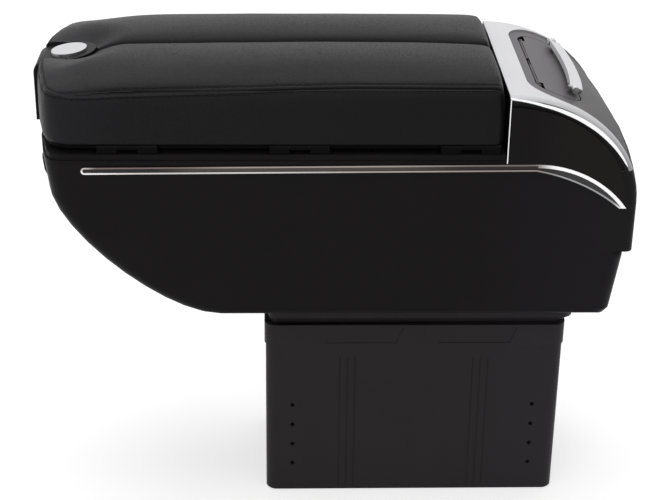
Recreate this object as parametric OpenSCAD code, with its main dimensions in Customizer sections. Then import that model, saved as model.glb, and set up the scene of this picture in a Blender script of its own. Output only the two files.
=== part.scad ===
// Car centre armrest: a height-adjustable storage body with two padded leaves,
// a push-button latch and an ashtray under a curved rear cover.
// Front is -X, up is +Z, left is -Y. Origin: bottom centre of the whole armrest.

/* [Base sleeve] */
// Length of the base sleeve
base_len = 196.5; // [188:1:210]
// Width of the base sleeve
base_w = 100; // [92:1:104]
// Height of the base sleeve
base_h = 129; // [122:1:140]
// Distance of the base's rear end from the body's rear end
base_setback = 33.5; // [30:0.25:38]
// Wall of the base sleeve
base_wall = 3; // [2.4:0.2:3.6]
// Height of the raised rim band
rim_band_h = 15.5; // [12:0.5:18]
// How far the rim band stands out
rim_band_proud = 0.8; // [0.6:0.1:1.2]
// Radius of the lock-screw holes
screw_hole_r = 1.5; // [1.2:0.1:1.8]
// Distance between lock-screw holes up the wall
hole_pitch = 15.3; // [14:0.1:16]
// Height of the lowest lock-screw hole
hole_bottom = 22; // [20:0.5:24]
// Distance of a hole column from the end of the base
hole_edge = 17.75; // [15:0.25:22]

/* [Neck] */
// Sliding clearance between the neck and the base sleeve
slide_gap = 0.4; // [0.3:0.1:0.6]
// Wall of the neck sleeve
neck_wall = 2.5; // [2:0.1:3]
// Height of the collar between the base rim and the body
collar_h = 19.3; // [17:0.1:22]
// Clearance under the collar when the body is fully down
seat_gap = 0.2; // [0.1:0.1:0.3]
// Clearance between the neck's floor and the base's floor
neck_floor_gap = 5; // [4:0.5:8]

/* [Body] */
// Width of the storage body
body_w = 150; // [144:1:156]
// Height of the storage body
body_h = 106; // [100:1:112]
// Reach of the rim forward of the middle of the armrest
body_front = 187; // [184:0.5:188]
// Reach of the rim behind the middle of the armrest
body_rear = 184.5; // [183:0.5:186]
// How much the front face bulges in plan
front_bulge = 11; // [8:0.5:13]
// How much the rear face bulges in plan
rear_bulge = 6; // [4:0.5:8]
// Wall of the storage body
body_wall = 3; // [2.4:0.2:3.6]
// Radius of the body's upright corners
corner_r = 8; // [6:0.5:10]

/* [Top frame] */
// Thickness of the frame on the rim
frame_t = 4; // [3.4:0.2:4.6]
// How far the frame stands in from the body's side
frame_inset = 1.4; // [1.2:0.1:1.8]
// Width of the frame's rail on each side of the storage opening
side_rail = 15; // [14:0.5:19]
// Distance of the storage opening's front edge from the body's front
front_rail = 49; // [46:1:56]
// Distance of the storage opening's rear edge from the rear cover
rear_rail = 9.8; // [9:0.2:17]

/* [Leaves] */
// Air between the frame and the pads
pad_lift = 6; // [5.8:0.1:6.4]
// Height of the pad's upright side
pad_side_h = 34; // [30:0.5:36]
// Height of the crown above the pad's side
pad_crown_h = 10; // [8:0.5:11]
// How far the pads stand in from the body's side
pad_margin = 2; // [1.5:0.1:3]
// How far the pads reach past the body's front
pad_over = 1; // [0:0.1:2]
// Gap between the pads and the rear cover
pad_rear_gap = 1.2; // [0.8:0.1:3]
// Gap between the two leaves
leaf_gap = 0.8; // [0.6:0.1:1.2]
// Thickness of the door shell under a pad
shell_t = 3; // [2.6:0.1:3.2]
// Radius of the hinge pins
pin_r = 1; // [0.9:0.05:1.1]
// Radius of the hinge knuckles
knuckle_r = 2.1; // [2:0.05:2.2]
// Running clearance round the pins
pin_gap = 0.05; // [0.03:0.01:0.08]

/* [Button] */
// Diameter of the push button
button_d = 22.5; // [21:0.5:24]
// Travel of the push button
button_travel = 3; // [2.5:0.1:3.2]
// Distance of the button's middle from the body's front
button_back = 18; // [17:0.25:19]
// Slope of the button housing's top
top_slope = 7; // [5:0.5:9]
// Radius of the housing's round rear end
housing_r = 17; // [16.5:0.25:17.5]
// Width of the housing where it runs over the front
housing_w = 30; // [28:0.5:31]
// Wall of the button housing
housing_wall = 2; // [1.8:0.1:2.2]

/* [Rear cover] */
// Front edge of the rear cover, behind the middle
hood_front = 101.8; // [101.4:0.1:103]
// Reach of the rear cover's curve from its front edge
hood_len = 88.2; // [87:0.1:89]
// Rise of the rear cover's curve
hood_rise = 70.8; // [68:0.2:72]
// Height at which the rear cover's curve turns upright, above the rim
hood_drop = 28.5; // [26:0.5:30]
// Height of the rear face below that line
hood_skirt = 32; // [28:0.5:36]
// Thickness of the silver frame
silver_t = 1; // [0.8:0.1:1.2]
// Thickness of the rear cover
cover_t = 2.4; // [2:0.1:2.8]
// Width of the lid's side clearance
lid_gap = 0.6; // [0.5:0.1:0.8]

/* [Chrome trims] */
// Height of the side trim's straight loop
trim_h = 4.5; // [4:0.1:5]
// How far the side trim stands out
trim_proud = 1.4; // [1.2:0.1:1.8]
// Width of the bright edge round the trim's channel
trim_edge = 1; // [0.8:0.1:1.2]

/* [Hidden] */
sliver = 0.01;
far = 400;
round_fn = 48;

// Heights, from the floor up
neck_bottom = base_wall + neck_floor_gap;
collar_z = base_h + seat_gap;
body_z = collar_z + collar_h;
rim_z = body_z + body_h;
frame_top = rim_z + frame_t;
pad_z = frame_top + pad_lift;
pad_side_top = pad_z + pad_side_h;
half_w = body_w / 2;

// Places that follow from the body's length and width
base_mid = body_rear - base_setback - base_len / 2;
hole_offset = base_len / 2 - hole_edge;
mouth_w = body_w - 2 * side_rail;
mouth_front = body_front - front_rail;
mouth_rear = hood_front - rear_rail;
pad_w = body_w - 2 * pad_margin;
pad_front = body_front + pad_over;
pad_rear = hood_front - pad_rear_gap;
button_x = body_front - button_back;

// Base and neck plans
base_r = 7;
base_edge = 1.2;
base_in_len = base_len - 2 * base_wall;
base_in_w = base_w - 2 * base_wall;
neck_len = base_in_len - 2 * slide_gap;
neck_w = base_in_w - 2 * slide_gap;
neck_r = base_r - base_wall - slide_gap;
collar_len = base_len + 3.5;
collar_mid = base_mid + 3.25;
collar_w = base_w - 2;
collar_chamfer = 4.5;
pocket_len = neck_len - 2 * neck_wall;
pocket_w = neck_w - 2 * neck_wall;
pocket_r = 3;
screw_x = [collar_mid - collar_len / 2 + 2.6, collar_mid + collar_len / 2 - 5.2];
groove_w = 1;
groove_pitch = 5;
groove_x = base_len / 2 - 49.25;
field_x = [-0.17 * base_len, 0.21 * base_len];
field_len = 52;
field_slant = 5;
field_edge = 2;
field_depth = 0.5;
screw_y = [-pocket_w / 3, pocket_w / 3];
neck_screw_r = 1.2;
neck_screw_len = 12;

// Frame screws and the bosses that take them
frame_screw_x = [-mouth_front - 9, -mouth_front / 2, mouth_rear / 5, mouth_rear + 3];
frame_screw_y = mouth_w / 2 + 5.2;
frame_screw_r = 1.2;
boss_r = 3.4;
boss_h = 14;
screw_sink = 1.6;
screw_head_r = 2.3;

// Lip of the frame that hangs in the body's mouth
lip_h = 6;
lip_t = 1.6;

// Crown of a pad: how far it draws in at the side, the front and the groove
pad_bulge = front_bulge + 1;
crown_side = 27;
crown_front = 110;
crown_groove = 14;

// Leaf hinges: three knuckle sets along each side
rib_h = 1.6;
knuckle_len = 12;
knuckle_gap = 0.3;
hinge_z = pad_z - knuckle_r - 0.1;
hinge_y = pad_w / 2 - knuckle_r - 0.3;
hinge_rear = hood_front - 1.5 * knuckle_len - knuckle_gap - 3.5;
hinge_front = -body_front + 59;
hinge_x = [hinge_front, (hinge_front + hinge_rear) / 2, hinge_rear];

// Button and latch
button_r = button_d / 2;
housing_top = pad_side_top + 1;
plunger_r = button_r - 1.8;
cap_depth = 4.6;
plunger_top = housing_top - cap_depth - 1.6;
plunger_z = housing_top - 12;
shelf_z = frame_top + 15;
shelf_t = 2;
stem_w = 4.4;
stem_d = 6;
bar_z = frame_top + 7.3;
bar_t = 3.6;
bar_w = 5.6;
window_gap = 0.3;
window_len = stem_w + button_travel + 2 * window_gap;
bar_head = 4;
head_w = stem_d + 4;
housing_front = button_x + 21;
housing_gap = 0.8;
housing_nose_r = 7;
wedge_x = -button_x - 1.8;
wedge_back = wedge_x + stem_w;
bar_tip = -button_x + housing_r + 2.6;
keeper_x = bar_tip + 0.3;
pit_r = 4.6;
pit_x = bar_tip + 0.2;
spring_r = 7;
wire_r = 0.5;

// Rear cover
hood_z = rim_z - hood_drop;
hood_bulge = 6;
hood_half = half_w;
hood_round = 4;
hood_base = hood_z - hood_skirt;
rebate = 7.5;
plate_proud = 2.4;
plate_h = 22;
plate_w = 56;
plate_drop = 26.5;
plate_r = 3;
silver_end = rim_z - 6;
deck_inset = silver_t;
cover_inner = deck_inset + cover_t;
deck_front = 13.8;
deck_corner = 24;
deck_half = half_w - 8;
deck_flare = 4.5;
lid_front = 20.3;
lid_rear = 48;
lid_half = deck_half - 13;
lid_corner = 14;
lid_pin_r = 0.8;
lid_barrel_r = 1.6;
lid_pin_x = hood_front + lid_front + lid_barrel_r;
lid_pin_z = hood_height(lid_pin_x, half_w, deck_inset) - lid_barrel_r - 0.2;
bin_wall = 1.6;
bin_gap = 2.6;
bin_seat = 0.2;
bin_floor = rim_z + 2;
ear_in = lid_half - 13.4;
ear_out = ear_in + 4;
ear_gap = 0.4;
notch_half = 6;

// Bar handle on the lid
handle_x = hood_front + 45;
handle_half = lid_half - 9;
handle_w = 9;
handle_t = 2.6;
handle_lift = 3;
handle_bow = 260;
post_x = -3;
post_y = handle_half - 7;
post_r = 1.8;
knob_r = 2.2;
knob_len = 4;
handle_foot = hood_height(handle_x + post_x, post_y, deck_inset);
handle_slope = atan((hood_height(handle_x - 4, post_y, 0) - hood_height(handle_x + 4, post_y, 0)) / 8);

// Chrome trims
trim_front = -156;
trim_rear = 120;
trim_top_front = rim_z - 3.3;
trim_top_rear = rim_z - 1;
trim_arc_r = 71;
trim_low_r = 114.6;
trim_low_x = 20.3;
trim_low_z = 112.8;
trim_tip_drop = 29.2;
strip_top = 4.6;
strip_low = 6.8;
strip_joint = 0.2;
panel_t = 0.8;
panel_joint = 0.1;
strip_end = hood_z + 27;
strip_proud = 0.4;
insert_y = 0.5;
insert_t = 0.3;
insert_gap = 0.1;
rib_w = 0.9;
rib_pitch = 2;
rib_start = 19;
rib_rise = 40;

function arc_steps(a, b, n) = [for (i = [0 : n]) a + (b - a) * i / n];
function bezier(p, t) = pow(1 - t, 3) * p[0] + 3 * pow(1 - t, 2) * t * p[1]
    + 3 * (1 - t) * t * t * p[2] + pow(t, 3) * p[3];
function side_sign(side) = side == "left" ? -1 : 1;
function hood_reach(y) = hood_len - hood_bulge * pow(y / hood_half, 2);
function hood_height(x, y, inset) = hood_z
    + (hood_rise - inset) * sqrt(max(0, 1 - pow((x - hood_front) / (hood_reach(y) - inset), 2)));

// Rounded rectangle with exact corner arcs, centred on the origin
module round_rect(l, w, r) {
    square([l - 2 * r, w], center = true);
    square([l, w - 2 * r], center = true);
    for (x = [-1, 1], y = [-1, 1])
        translate([x * (l / 2 - r), y * (w / 2 - r)]) circle(r, $fn = round_fn);
}

module prism(z0, z1) translate([0, 0, z0]) linear_extrude(z1 - z0) children();

// A flat plate in the XZ plane at y, its thickness towards the middle
module plate_at(y) {
    shift = y > 0 ? 0 : y < 0 ? sliver : sliver / 2;
    translate([0, y + shift, 0]) rotate([90, 0, 0]) linear_extrude(sliver) children();
}

// An extrusion in Y of an XZ outline, from y0 to y1
module across(y0, y1) translate([0, y1, 0]) rotate([90, 0, 0]) linear_extrude(y1 - y0) children();

module rod(x, z, r, y0, y1) translate([x, y0, z]) rotate([-90, 0, 0])
    cylinder(y1 - y0, r = r, $fn = round_fn);

module rod_along(x0, x1, y, z, r) translate([x0, y, z]) rotate([0, 90, 0])
    cylinder(x1 - x0, r = r, $fn = round_fn);

// Base sleeve
module base_sleeve() color("#2d292b") difference() {
    union() {
        hull() {
            translate([base_mid, 0, 0]) prism(0, sliver)
                round_rect(base_len - 2 * base_edge, base_w - 2 * base_edge, base_r - base_edge);
            translate([base_mid, 0, 0]) prism(base_edge, base_h) round_rect(base_len, base_w, base_r);
        }
        translate([base_mid, 0, 0]) prism(base_h - rim_band_h, base_h)
            round_rect(base_len + 2 * rim_band_proud, base_w + 2 * rim_band_proud, base_r + rim_band_proud);
    }
    translate([base_mid, 0, 0]) prism(base_wall, base_h + 1)
        round_rect(base_in_len, base_in_w, base_r - base_wall);
    lock_holes(base_w);
    base_grooves();
    band_recesses();
}

// Four rows of lock-screw holes in each column, through both long walls
module lock_holes(w) for (side = [-1, 1], i = [0 : 3])
    rod(base_mid + side * hole_offset, hole_bottom + i * hole_pitch, screw_hole_r, -w, w);

module base_grooves() for (y = [-1, 1], side = [-1, 1], i = [0 : 2])
    translate([base_mid + side * (groove_x - i * groove_pitch) - groove_w / 2, y * base_w / 2 - groove_w / 2, -1])
        cube([groove_w, groove_w, base_h - rim_band_h - 8]);

// Shallow slanted fields in the rim band
module band_recesses() for (y = [-1, 1], x = field_x)
    translate([base_mid + x, y * (base_w / 2 + rim_band_proud), base_h - rim_band_h + field_edge])
        across(-field_depth, field_depth) polygon([
            [-field_len / 2, 0], [field_len / 2 - field_slant, 0],
            [field_len / 2, rim_band_h - 2 * field_edge],
            [field_slant - field_len / 2, rim_band_h - 2 * field_edge]
        ]);

// Neck sleeve with its collar
module neck_sleeve() color("#262325") difference() {
    union() {
        translate([base_mid, 0, 0]) prism(neck_bottom, collar_z + collar_chamfer)
            round_rect(neck_len, neck_w, neck_r);
        hull() {
            translate([base_mid, 0, 0]) prism(collar_z, collar_z + sliver)
                round_rect(base_len - 6, base_w - 6, base_r);
            translate([collar_mid, 0, 0]) prism(collar_z + collar_chamfer, body_z)
                round_rect(collar_len, collar_w, base_r);
        }
    }
    translate([base_mid, 0, 0]) prism(neck_bottom + neck_wall, body_z + 1)
        round_rect(pocket_len, pocket_w, pocket_r);
    lock_holes(base_w);
    for (x = screw_x, y = screw_y)
        translate([x, y, body_z - neck_screw_len])
            cylinder(neck_screw_len + 1, r = neck_screw_r + pin_gap, $fn = 24);
}

module screw_at(x, y, head_z, head_r, head_h, r, len) translate([x, y, head_z]) {
    cylinder(head_h, r = head_r, $fn = 24);
    translate([0, 0, -len]) cylinder(len, r = r, $fn = 24);
}

module neck_screws() color("silver") for (x = screw_x, y = screw_y)
    screw_at(x, y, body_z + body_wall, 2.4, 1.6, neck_screw_r, body_wall + neck_screw_len - 1);

// Side outline of the storage body; dx draws the ends in, dz lifts the underside
function body_outline(front, rear, dx, dz, top) = let (
    x0 = -front + dx,
    z0 = body_z + dz,
    curve = [[x0 + 2.6, body_z + 81.2], [x0 + 11.3, body_z + 49.5 + dz / 2], [x0 + 71, z0], [x0 + 101, z0]]
) concat(
    [[x0, rim_z - 2.5], [x0, top]],
    [[rear - dx, top], [rear - dx, body_z + 40], [rear - dx - 5.5, z0 + 3.5], [rear - dx - 9, z0]],
    [for (t = arc_steps(1, 0, 10)) bezier(curve, t)]
);

// The body's outer form, or its inner form when wall is given
module body_form(wall, top, rear) {
    w = half_w - wall;
    r = corner_r - wall * 0.6;
    stations = concat(
        [for (f = [0, 0.45, 0.8]) [f * (w - r), 0]],
        [for (a = arc_steps(0, 90, 4)) [w - r + r * sin(a), 1 - cos(a)]]
    );
    hull() for (side = [-1, 1], s = stations)
        plate_at(side * s[0]) polygon(body_outline(
            body_front - front_bulge * pow(s[0] / half_w, 2),
            rear - rear_bulge * pow(s[0] / half_w, 2),
            wall + s[1] * r, wall + s[1] * r / 2, top));
}

// The tub's outside: full length below the rear cover, set in behind it
module tub_outside() {
    body_form(0, rim_z, body_rear - rebate);
    intersection() {
        body_form(0, rim_z, body_rear);
        all_between(0, hood_base);
    }
}
module all_between(z0, z1) translate([-far / 2, -far / 2, z0]) cube([far, far, z1 - z0]);

module body_tub() color("#1e1c1e") difference() {
    union() {
        difference() {
            tub_outside();
            body_form(body_wall, rim_z + 1, body_rear - rebate);
        }
        frame_bosses();
    }
    translate([base_mid, 0, 0]) prism(body_z - 1, body_z + body_wall + 1)
        round_rect(pocket_len, pocket_w, pocket_r);
    for (x = screw_x, y = screw_y)
        translate([x, y, body_z - 1]) cylinder(body_wall + 2, r = neck_screw_r + 0.3, $fn = 24);
    for (x = frame_screw_x, side = [-1, 1])
        translate([x, side * frame_screw_y, rim_z - boss_h + 2])
            cylinder(boss_h, r = frame_screw_r + pin_gap, $fn = 24);
}

module frame_bosses() for (x = frame_screw_x, side = [-1, 1]) {
    translate([x, side * frame_screw_y, rim_z - boss_h]) cylinder(boss_h, r = boss_r, $fn = 24);
    reach = half_w - body_wall / 2 - frame_screw_y;
    translate([x - 1, side * (frame_screw_y + reach / 2) - reach / 2, rim_z - boss_h])
        cube([2, reach, boss_h]);
}

// Plan outline of the rim, drawn in by inset, cut off behind rear_x
module rim_plan(inset, rear_x) {
    w = half_w - inset;
    r = corner_r - inset;
    polygon(concat(
        [[rear_x, -w], [rear_x, w]],
        [for (a = arc_steps(0, 60, 4)) rim_point(w - r + r * cos(a), inset + r * (1 - sin(a)))],
        [for (f = arc_steps(1, -1, 12)) rim_point(f * (w - r), inset)],
        [for (a = arc_steps(60, 0, 4)) rim_point(-(w - r + r * cos(a)), inset + r * (1 - sin(a)))]
    ));
}
function rim_point(y, dx) = [-body_front + front_bulge * pow(y / half_w, 2) + dx, y];

// Top frame on the rim
module top_frame() color("#1b191b") difference() {
    union() {
        prism(rim_z, frame_top) rim_plan(frame_inset, hood_front - 0.6);
        mouth_lip();
        for (side = [-1, 1]) frame_lugs(side);
    }
    prism(rim_z - 20, frame_top + 1) mouth_plan(0);
    for (side = [-1, 1])
        rod_along(hinge_x[0] - 40, hinge_x[2] + 40, side * hinge_y, hinge_z, pin_r + pin_gap);
    for (x = frame_screw_x, side = [-1, 1]) {
        translate([x, side * frame_screw_y, rim_z - 1])
            cylinder(frame_t + 2, r = frame_screw_r + 0.3, $fn = 24);
        translate([x, side * frame_screw_y, frame_top - screw_sink])
            cylinder(screw_sink + 1, r = screw_head_r + 0.3, $fn = 24);
    }
}

module mouth_plan(grow) translate([(mouth_rear - mouth_front) / 2, 0])
    round_rect(mouth_rear + mouth_front + 2 * grow, mouth_w + 2 * grow, 10 + grow);

module mouth_lip() prism(rim_z - lip_h, rim_z) mouth_plan(lip_t);

// Two lugs of the frame at each hinge, either side of the leaf's knuckle
module frame_lugs(side) for (x = hinge_x, end = [-1, 1]) {
    start = x + end * (knuckle_len + knuckle_gap) - knuckle_len / 2;
    rod_along(start, start + knuckle_len, side * hinge_y, hinge_z, knuckle_r);
    translate([start, side * hinge_y - knuckle_r, frame_top - 1])
        cube([knuckle_len, 2 * knuckle_r, hinge_z - frame_top + 1]);
}

module frame_screws() color("silver") for (x = frame_screw_x, side = [-1, 1])
    screw_at(x, side * frame_screw_y, frame_top - screw_sink, screw_head_r, screw_sink - 0.3,
        frame_screw_r, frame_t - screw_sink + boss_h - 4);

// A short pin in each set of knuckles
module hinge_pin(side) color("silver") for (x = hinge_x)
    rod_along(x - 1.5 * knuckle_len, x + 1.5 * knuckle_len, side * hinge_y, hinge_z, pin_r);
module left_hinge_pin() hinge_pin(-1);
module right_hinge_pin() hinge_pin(1);

// Plan outline of one leaf on the +Y side; inset draws in all but the inner edge
module leaf_plan(inset, front_inset, inner) {
    w = pad_w / 2 - inset;
    r = 14;
    x_rear = pad_rear - min(inset, 6);
    polygon(concat(
        [[x_rear, inner], [x_rear, w - 3], [x_rear - 3, w]],
        [for (a = arc_steps(0, 90, 6)) leaf_point(w - r + r * cos(a), front_inset + r * (1 - sin(a)))],
        [for (f = arc_steps(0.85, 0, 6)) leaf_point(inner + f * (w - r - inner), front_inset)]
    ));
}
function leaf_point(y, dx) = [-pad_front + pad_bulge * pow(y / (pad_w / 2), 2) + dx, y];

// Levels of the pad: height above its foot, draw-in at the side, draw-in at the front, inner edge
pad_side_levels = [
    [0, 1.2, 1.2, 0], [1.5, 0.3, 0.3, 0], [17, 0, 0, 0],
    [pad_side_h - 3, 0.4, 0.8, 0], [pad_side_h - 1, 0.8, 2.4, 0]
];
pad_crown_levels = [for (a = arc_steps(0, 90, 6)) [
    pad_side_h + pad_crown_h * sin(a),
    1 + crown_side * (1 - cos(a)),
    5 + crown_front * pow(1 - cos(a), 0.9),
    crown_groove * pow(sin(a), 6)
]];

module pad() difference() {
    hull() for (l = concat(pad_side_levels, pad_crown_levels))
        prism(pad_z + l[0], pad_z + l[0] + sliver) leaf_plan(l[1], l[2], leaf_gap / 2 + l[3]);
    housing_clearance();
    translate([pit_x, 0, pad_z - 1]) cylinder(pad_side_h + pad_crown_h + 2, r = pit_r, $fn = round_fn);
}

// Room for the button housing between the leaves
module housing_clearance() prism(frame_top, far) housing_plan(housing_gap);

module housing_plan(grow) {
    translate([-button_x, 0]) circle(housing_r + grow, $fn = round_fn);
    translate([-far, -housing_w / 2 - grow]) square([far - button_x, housing_w + 2 * grow]);
}

module left_pad() color("#2b292c") mirror([0, 1, 0]) pad();
module right_pad() color("#2b292c") pad();

// Hard shell under a pad, with its knuckles, keeper and stiffening rib
module door_shell() difference() {
    union() {
        difference() {
            prism(pad_z - shell_t, pad_z) leaf_plan(2.6, 2.6, leaf_gap / 2);
            housing_clearance();
            translate([pit_x, 0, frame_top]) cylinder(20, r = pit_r, $fn = round_fn);
            for (x = hinge_x, end = [-1, 1])
                translate([x + end * (knuckle_len + knuckle_gap) - knuckle_len / 2 - knuckle_gap,
                    hinge_y - knuckle_r - 0.8, pad_z - shell_t - 1])
                    cube([knuckle_len + 2 * knuckle_gap, 10, shell_t + 2]);
        }
        for (x = hinge_x)
            rod_along(x - knuckle_len / 2, x + knuckle_len / 2, hinge_y, hinge_z, knuckle_r);
        keeper();
        shell_rib();
    }
    rod_along(hinge_x[0] - 40, hinge_x[2] + 40, hinge_y, hinge_z, pin_r + pin_gap);
}

module keeper() translate([keeper_x, leaf_gap / 2, pad_z - shell_t]) cube([pit_r * 2, 4, shell_t - 0.6]);

// Stiffening rib on the underside of the shell
module shell_rib() prism(pad_z - shell_t - rib_h, pad_z - shell_t) difference() {
    rib_plan(0);
    rib_plan(1.8);
}
module rib_plan(inset) translate([-mouth_front + 10 + inset, 5 + inset])
    square([mouth_rear + mouth_front - 20 - 2 * inset, mouth_w / 2 - 13 - 2 * inset]);

module left_door_shell() color("#222022") mirror([0, 1, 0]) door_shell();
module right_door_shell() color("#222022") door_shell();

// Button housing: a tongue that runs over the front between the leaves
function housing_side(inset) = let (
    front = housing_front - inset,
    rear = button_x - housing_r - 1,
    top = housing_top - inset,
    fall = tan(top_slope) * (front - button_x),
    r = housing_nose_r - inset
) concat(
    [[-front, frame_top - 1], [-rear, frame_top - 1], [-rear, top + tan(top_slope) * housing_r]],
    [for (a = arc_steps(90, 180, 6)) [-front + r + r * cos(a), top - fall - r + r * sin(a)]]
);

module housing_body(grow) intersection() {
    prism(frame_top, far) housing_plan(-grow);
    across(-half_w, half_w) polygon(housing_side(grow));
}

module button_housing() color("#1c1a1c") difference() {
    union() {
        difference() {
            housing_body(0);
            translate([0, 0, -1]) housing_body(housing_wall);
            translate([-far, -housing_w / 2 + housing_wall, frame_top - 1])
                cube([far - button_x + 10, housing_w - 2 * housing_wall, 4]);
        }
        intersection() {
            housing_body(0);
            all_between(shelf_z, shelf_z + shelf_t);
        }
    }
    translate([-button_x, 0, shelf_z + shelf_t + 1]) cylinder(60, r = button_r + 0.3, $fn = round_fn);
    translate([wedge_x - button_travel - 1, -stem_d / 2 - 0.4, shelf_z - 1])
        cube([stem_w + button_travel + 1.6, stem_d + 0.8, shelf_t + 2]);
    translate([-button_x, -bar_w / 2 - 0.4, bar_z - 0.4]) cube([40, bar_w + 0.8, bar_t + 0.8]);
}

// Button face, cut to the slope of the housing
module button_cap() color("#d8d8d8") difference() {
    intersection() {
        translate([-button_x, 0, housing_top - 8]) cylinder(20, r = button_r, $fn = round_fn);
        across(-half_w, half_w) polygon(button_side(1.2, -1.4));
    }
    translate([-button_x, 0, housing_top - 20]) cylinder(20 - cap_depth, r = button_r - 1.2, $fn = round_fn);
}
function button_side(up, down) = let (s = tan(top_slope) * 20) [
    [-button_x - 20, housing_top + down - s - 2], [-button_x + 20, housing_top + down + s - 2],
    [-button_x + 20, housing_top + up + s], [-button_x - 20, housing_top + up - s]
];

// Plunger: a cup under the cap, a stem and the wedge that pulls the latch bar
module button_plunger() color("#333133") {
    difference() {
        translate([-button_x, 0, plunger_z])
            cylinder(plunger_top - plunger_z, r = plunger_r, $fn = round_fn);
        translate([-button_x, 0, plunger_z - 1])
            cylinder(plunger_top - plunger_z - 1, r = plunger_r - 1.4, $fn = round_fn);
    }
    across(-stem_d / 2, stem_d / 2) polygon([
        [wedge_x - button_travel - 0.2, housing_top - 7],
        [wedge_x - button_travel - 0.2, bar_z + bar_t + button_travel + 0.2],
        [wedge_x + bar_t, bar_z],
        [wedge_back, bar_z],
        [wedge_back, housing_top - 7]
    ]);
}

// A coil of whole turns along Z, or along -X when flat is true
module coil(r, wire, height, turns, flat = false) {
    steps = turns * 10;
    sides = 6;
    points = [for (i = [0 : steps], j = [0 : sides - 1]) let (
        a = 360 * i / 10,
        b = 360 * j / sides,
        q = r + wire * cos(b),
        z = wire + (height - 2 * wire) * i / steps + wire * sin(b)
    ) flat ? [-z, q * sin(a), q * cos(a)] : [q * cos(a), q * sin(a), z]];
    walls = [for (i = [0 : steps - 1], j = [0 : sides - 1], lower = [true, false])
        let (p = i * sides, q = p + sides, k = (j + 1) % sides)
            lower ? [p + j, p + k, q + k] : [p + j, q + k, q + j]];
    ends = [[for (j = [sides - 1 : -1 : 0]) j], [for (j = [0 : sides - 1]) steps * sides + j]];
    polyhedron(points, concat(walls, ends));
}

module button_spring() color("silver") translate([-button_x, 0, shelf_z + shelf_t])
    coil(spring_r, wire_r, plunger_top - 2 - 0.05 - shelf_z - shelf_t, 5);

// Latch bar, with a window for the wedge and a nose behind the housing
module latch_bar() color("#3a383a") difference() {
    union() {
        translate([wedge_x - bar_head, -bar_w / 2, bar_z])
            cube([bar_tip - wedge_x + bar_head, bar_w, bar_t]);
        translate([wedge_x - bar_head, -head_w / 2, bar_z])
            cube([window_len + 2 * bar_head, head_w, bar_t]);
    }
    translate([wedge_x - window_gap, -stem_d / 2 - 0.3, bar_z - 1])
        cube([window_len, stem_d + 0.6, bar_t + 2]);
}

module latch_spring() color("silver") translate([wedge_x - bar_head, 0, bar_z + bar_t / 2])
    coil(1.3, 0.35, housing_front + wedge_x - bar_head - housing_wall, 4, true);

// Plain cover plate that follows the front face
module front_plate() color("#222022") difference() {
    intersection() {
        translate([-plate_proud, 0, 0]) body_form(0, rim_z, body_rear);
        translate([front_bulge / 2 - body_front, 0, rim_z - plate_drop]) rotate([0, -90, 0])
            linear_extrude(front_bulge + plate_proud) round_rect(plate_h, plate_w, plate_r);
    }
    tub_outside();
}

// Rear cover form: plates with rounded side edges
function hood_outline(y, inset, front_inset) = concat(
    [for (x = [front_inset, hood_reach(y) - inset]) [hood_front + x, hood_base - front_inset]],
    [for (a = arc_steps(0, 90, 18))
        [hood_front + (hood_reach(y) - inset) * cos(a), hood_z + (hood_rise - inset) * sin(a)]],
    [[hood_front + front_inset, hood_z + hood_rise - inset]]
);
module hood_form(inset) {
    w = hood_half - inset;
    stations = concat(
        [for (f = [0, 0.5, 0.8]) [f * (w - hood_round), 0]],
        [for (a = arc_steps(0, 90, 4)) [w - hood_round + hood_round * sin(a), hood_round * (1 - cos(a))]]
    );
    hull() for (side = [-1, 1], s = stations)
        plate_at(side * s[0]) polygon(hood_outline(s[0], inset + s[1], inset));
}

// Outside of the rear cover: set in under the silver frame, full size below it
module cover_outside() intersection() {
    union() {
        hood_form(deck_inset);
        intersection() {
            hood_form(0);
            all_between(0, silver_end);
        }
    }
    all_between(hood_base, far);
}

module rear_cover() color("#565456") difference() {
    cover_outside();
    intersection() {
        hood_form(cover_inner);
        all_between(hood_base + cover_t, far);
    }
    tub_outside();
    prism(rim_z + 10, far) lid_plan(lid_gap);
}

module lid_plan(grow) translate([hood_front + (lid_front + lid_rear) / 2, 0])
    round_rect(lid_rear - lid_front + 2 * grow, 2 * (lid_half + grow), lid_corner + grow);

// Silver frame: a band across the front and a rail down each side
module silver_frame() color("#d8d8d8") difference() {
    intersection() {
        hood_form(0);
        prism(silver_end, far) difference() {
            translate([hood_front - 1, -body_w / 2 - 1]) square([hood_len + 10, body_w + 2]);
            deck_plan();
        }
    }
    hood_form(deck_inset);
    across(-far, far) ellipse_field(strip_top - strip_joint);
}

// Plan of the deck inside the silver frame, with two large round corners at the front
module deck_plan() {
    x0 = hood_front + deck_front;
    polygon(concat(
        [for (side = [-1, 1]) [x0 + hood_len, side * (deck_half + deck_flare)]],
        [for (a = arc_steps(0, 90, 12)) deck_point(x0, cos(a), sin(a), 1)],
        [for (a = arc_steps(90, 0, 12)) deck_point(x0, cos(a), sin(a), -1)]
    ));
}
function deck_point(x0, c, s, side) =
    [x0 + deck_corner * (1 - s), side * (deck_half - deck_corner * (1 - c))];

// Everything in the side view under the cover's curve drawn in by inset
module ellipse_field(inset) polygon(concat(
    [[hood_front - 1, 0], [hood_front + hood_len - hood_bulge - inset, 0]],
    [for (a = arc_steps(0, 90, 24)) [hood_front + (hood_len - hood_bulge - inset) * cos(a),
        hood_z + (hood_rise - inset) * sin(a)]],
    [[hood_front - 1, hood_z + hood_rise - inset]]
));

// Glossy side panel between the two chrome trims
module side_panel(side) intersection() {
    difference() {
        across(-far, far) panel_outline();
        tub_outside();
        cover_outside();
    }
    side_slab(side, half_w - silver_t, half_w + panel_t);
}
module side_slab(side, y0, y1) translate([-far / 2, side > 0 ? y0 : -y1, 0]) cube([far, y1 - y0, far]);

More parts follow.
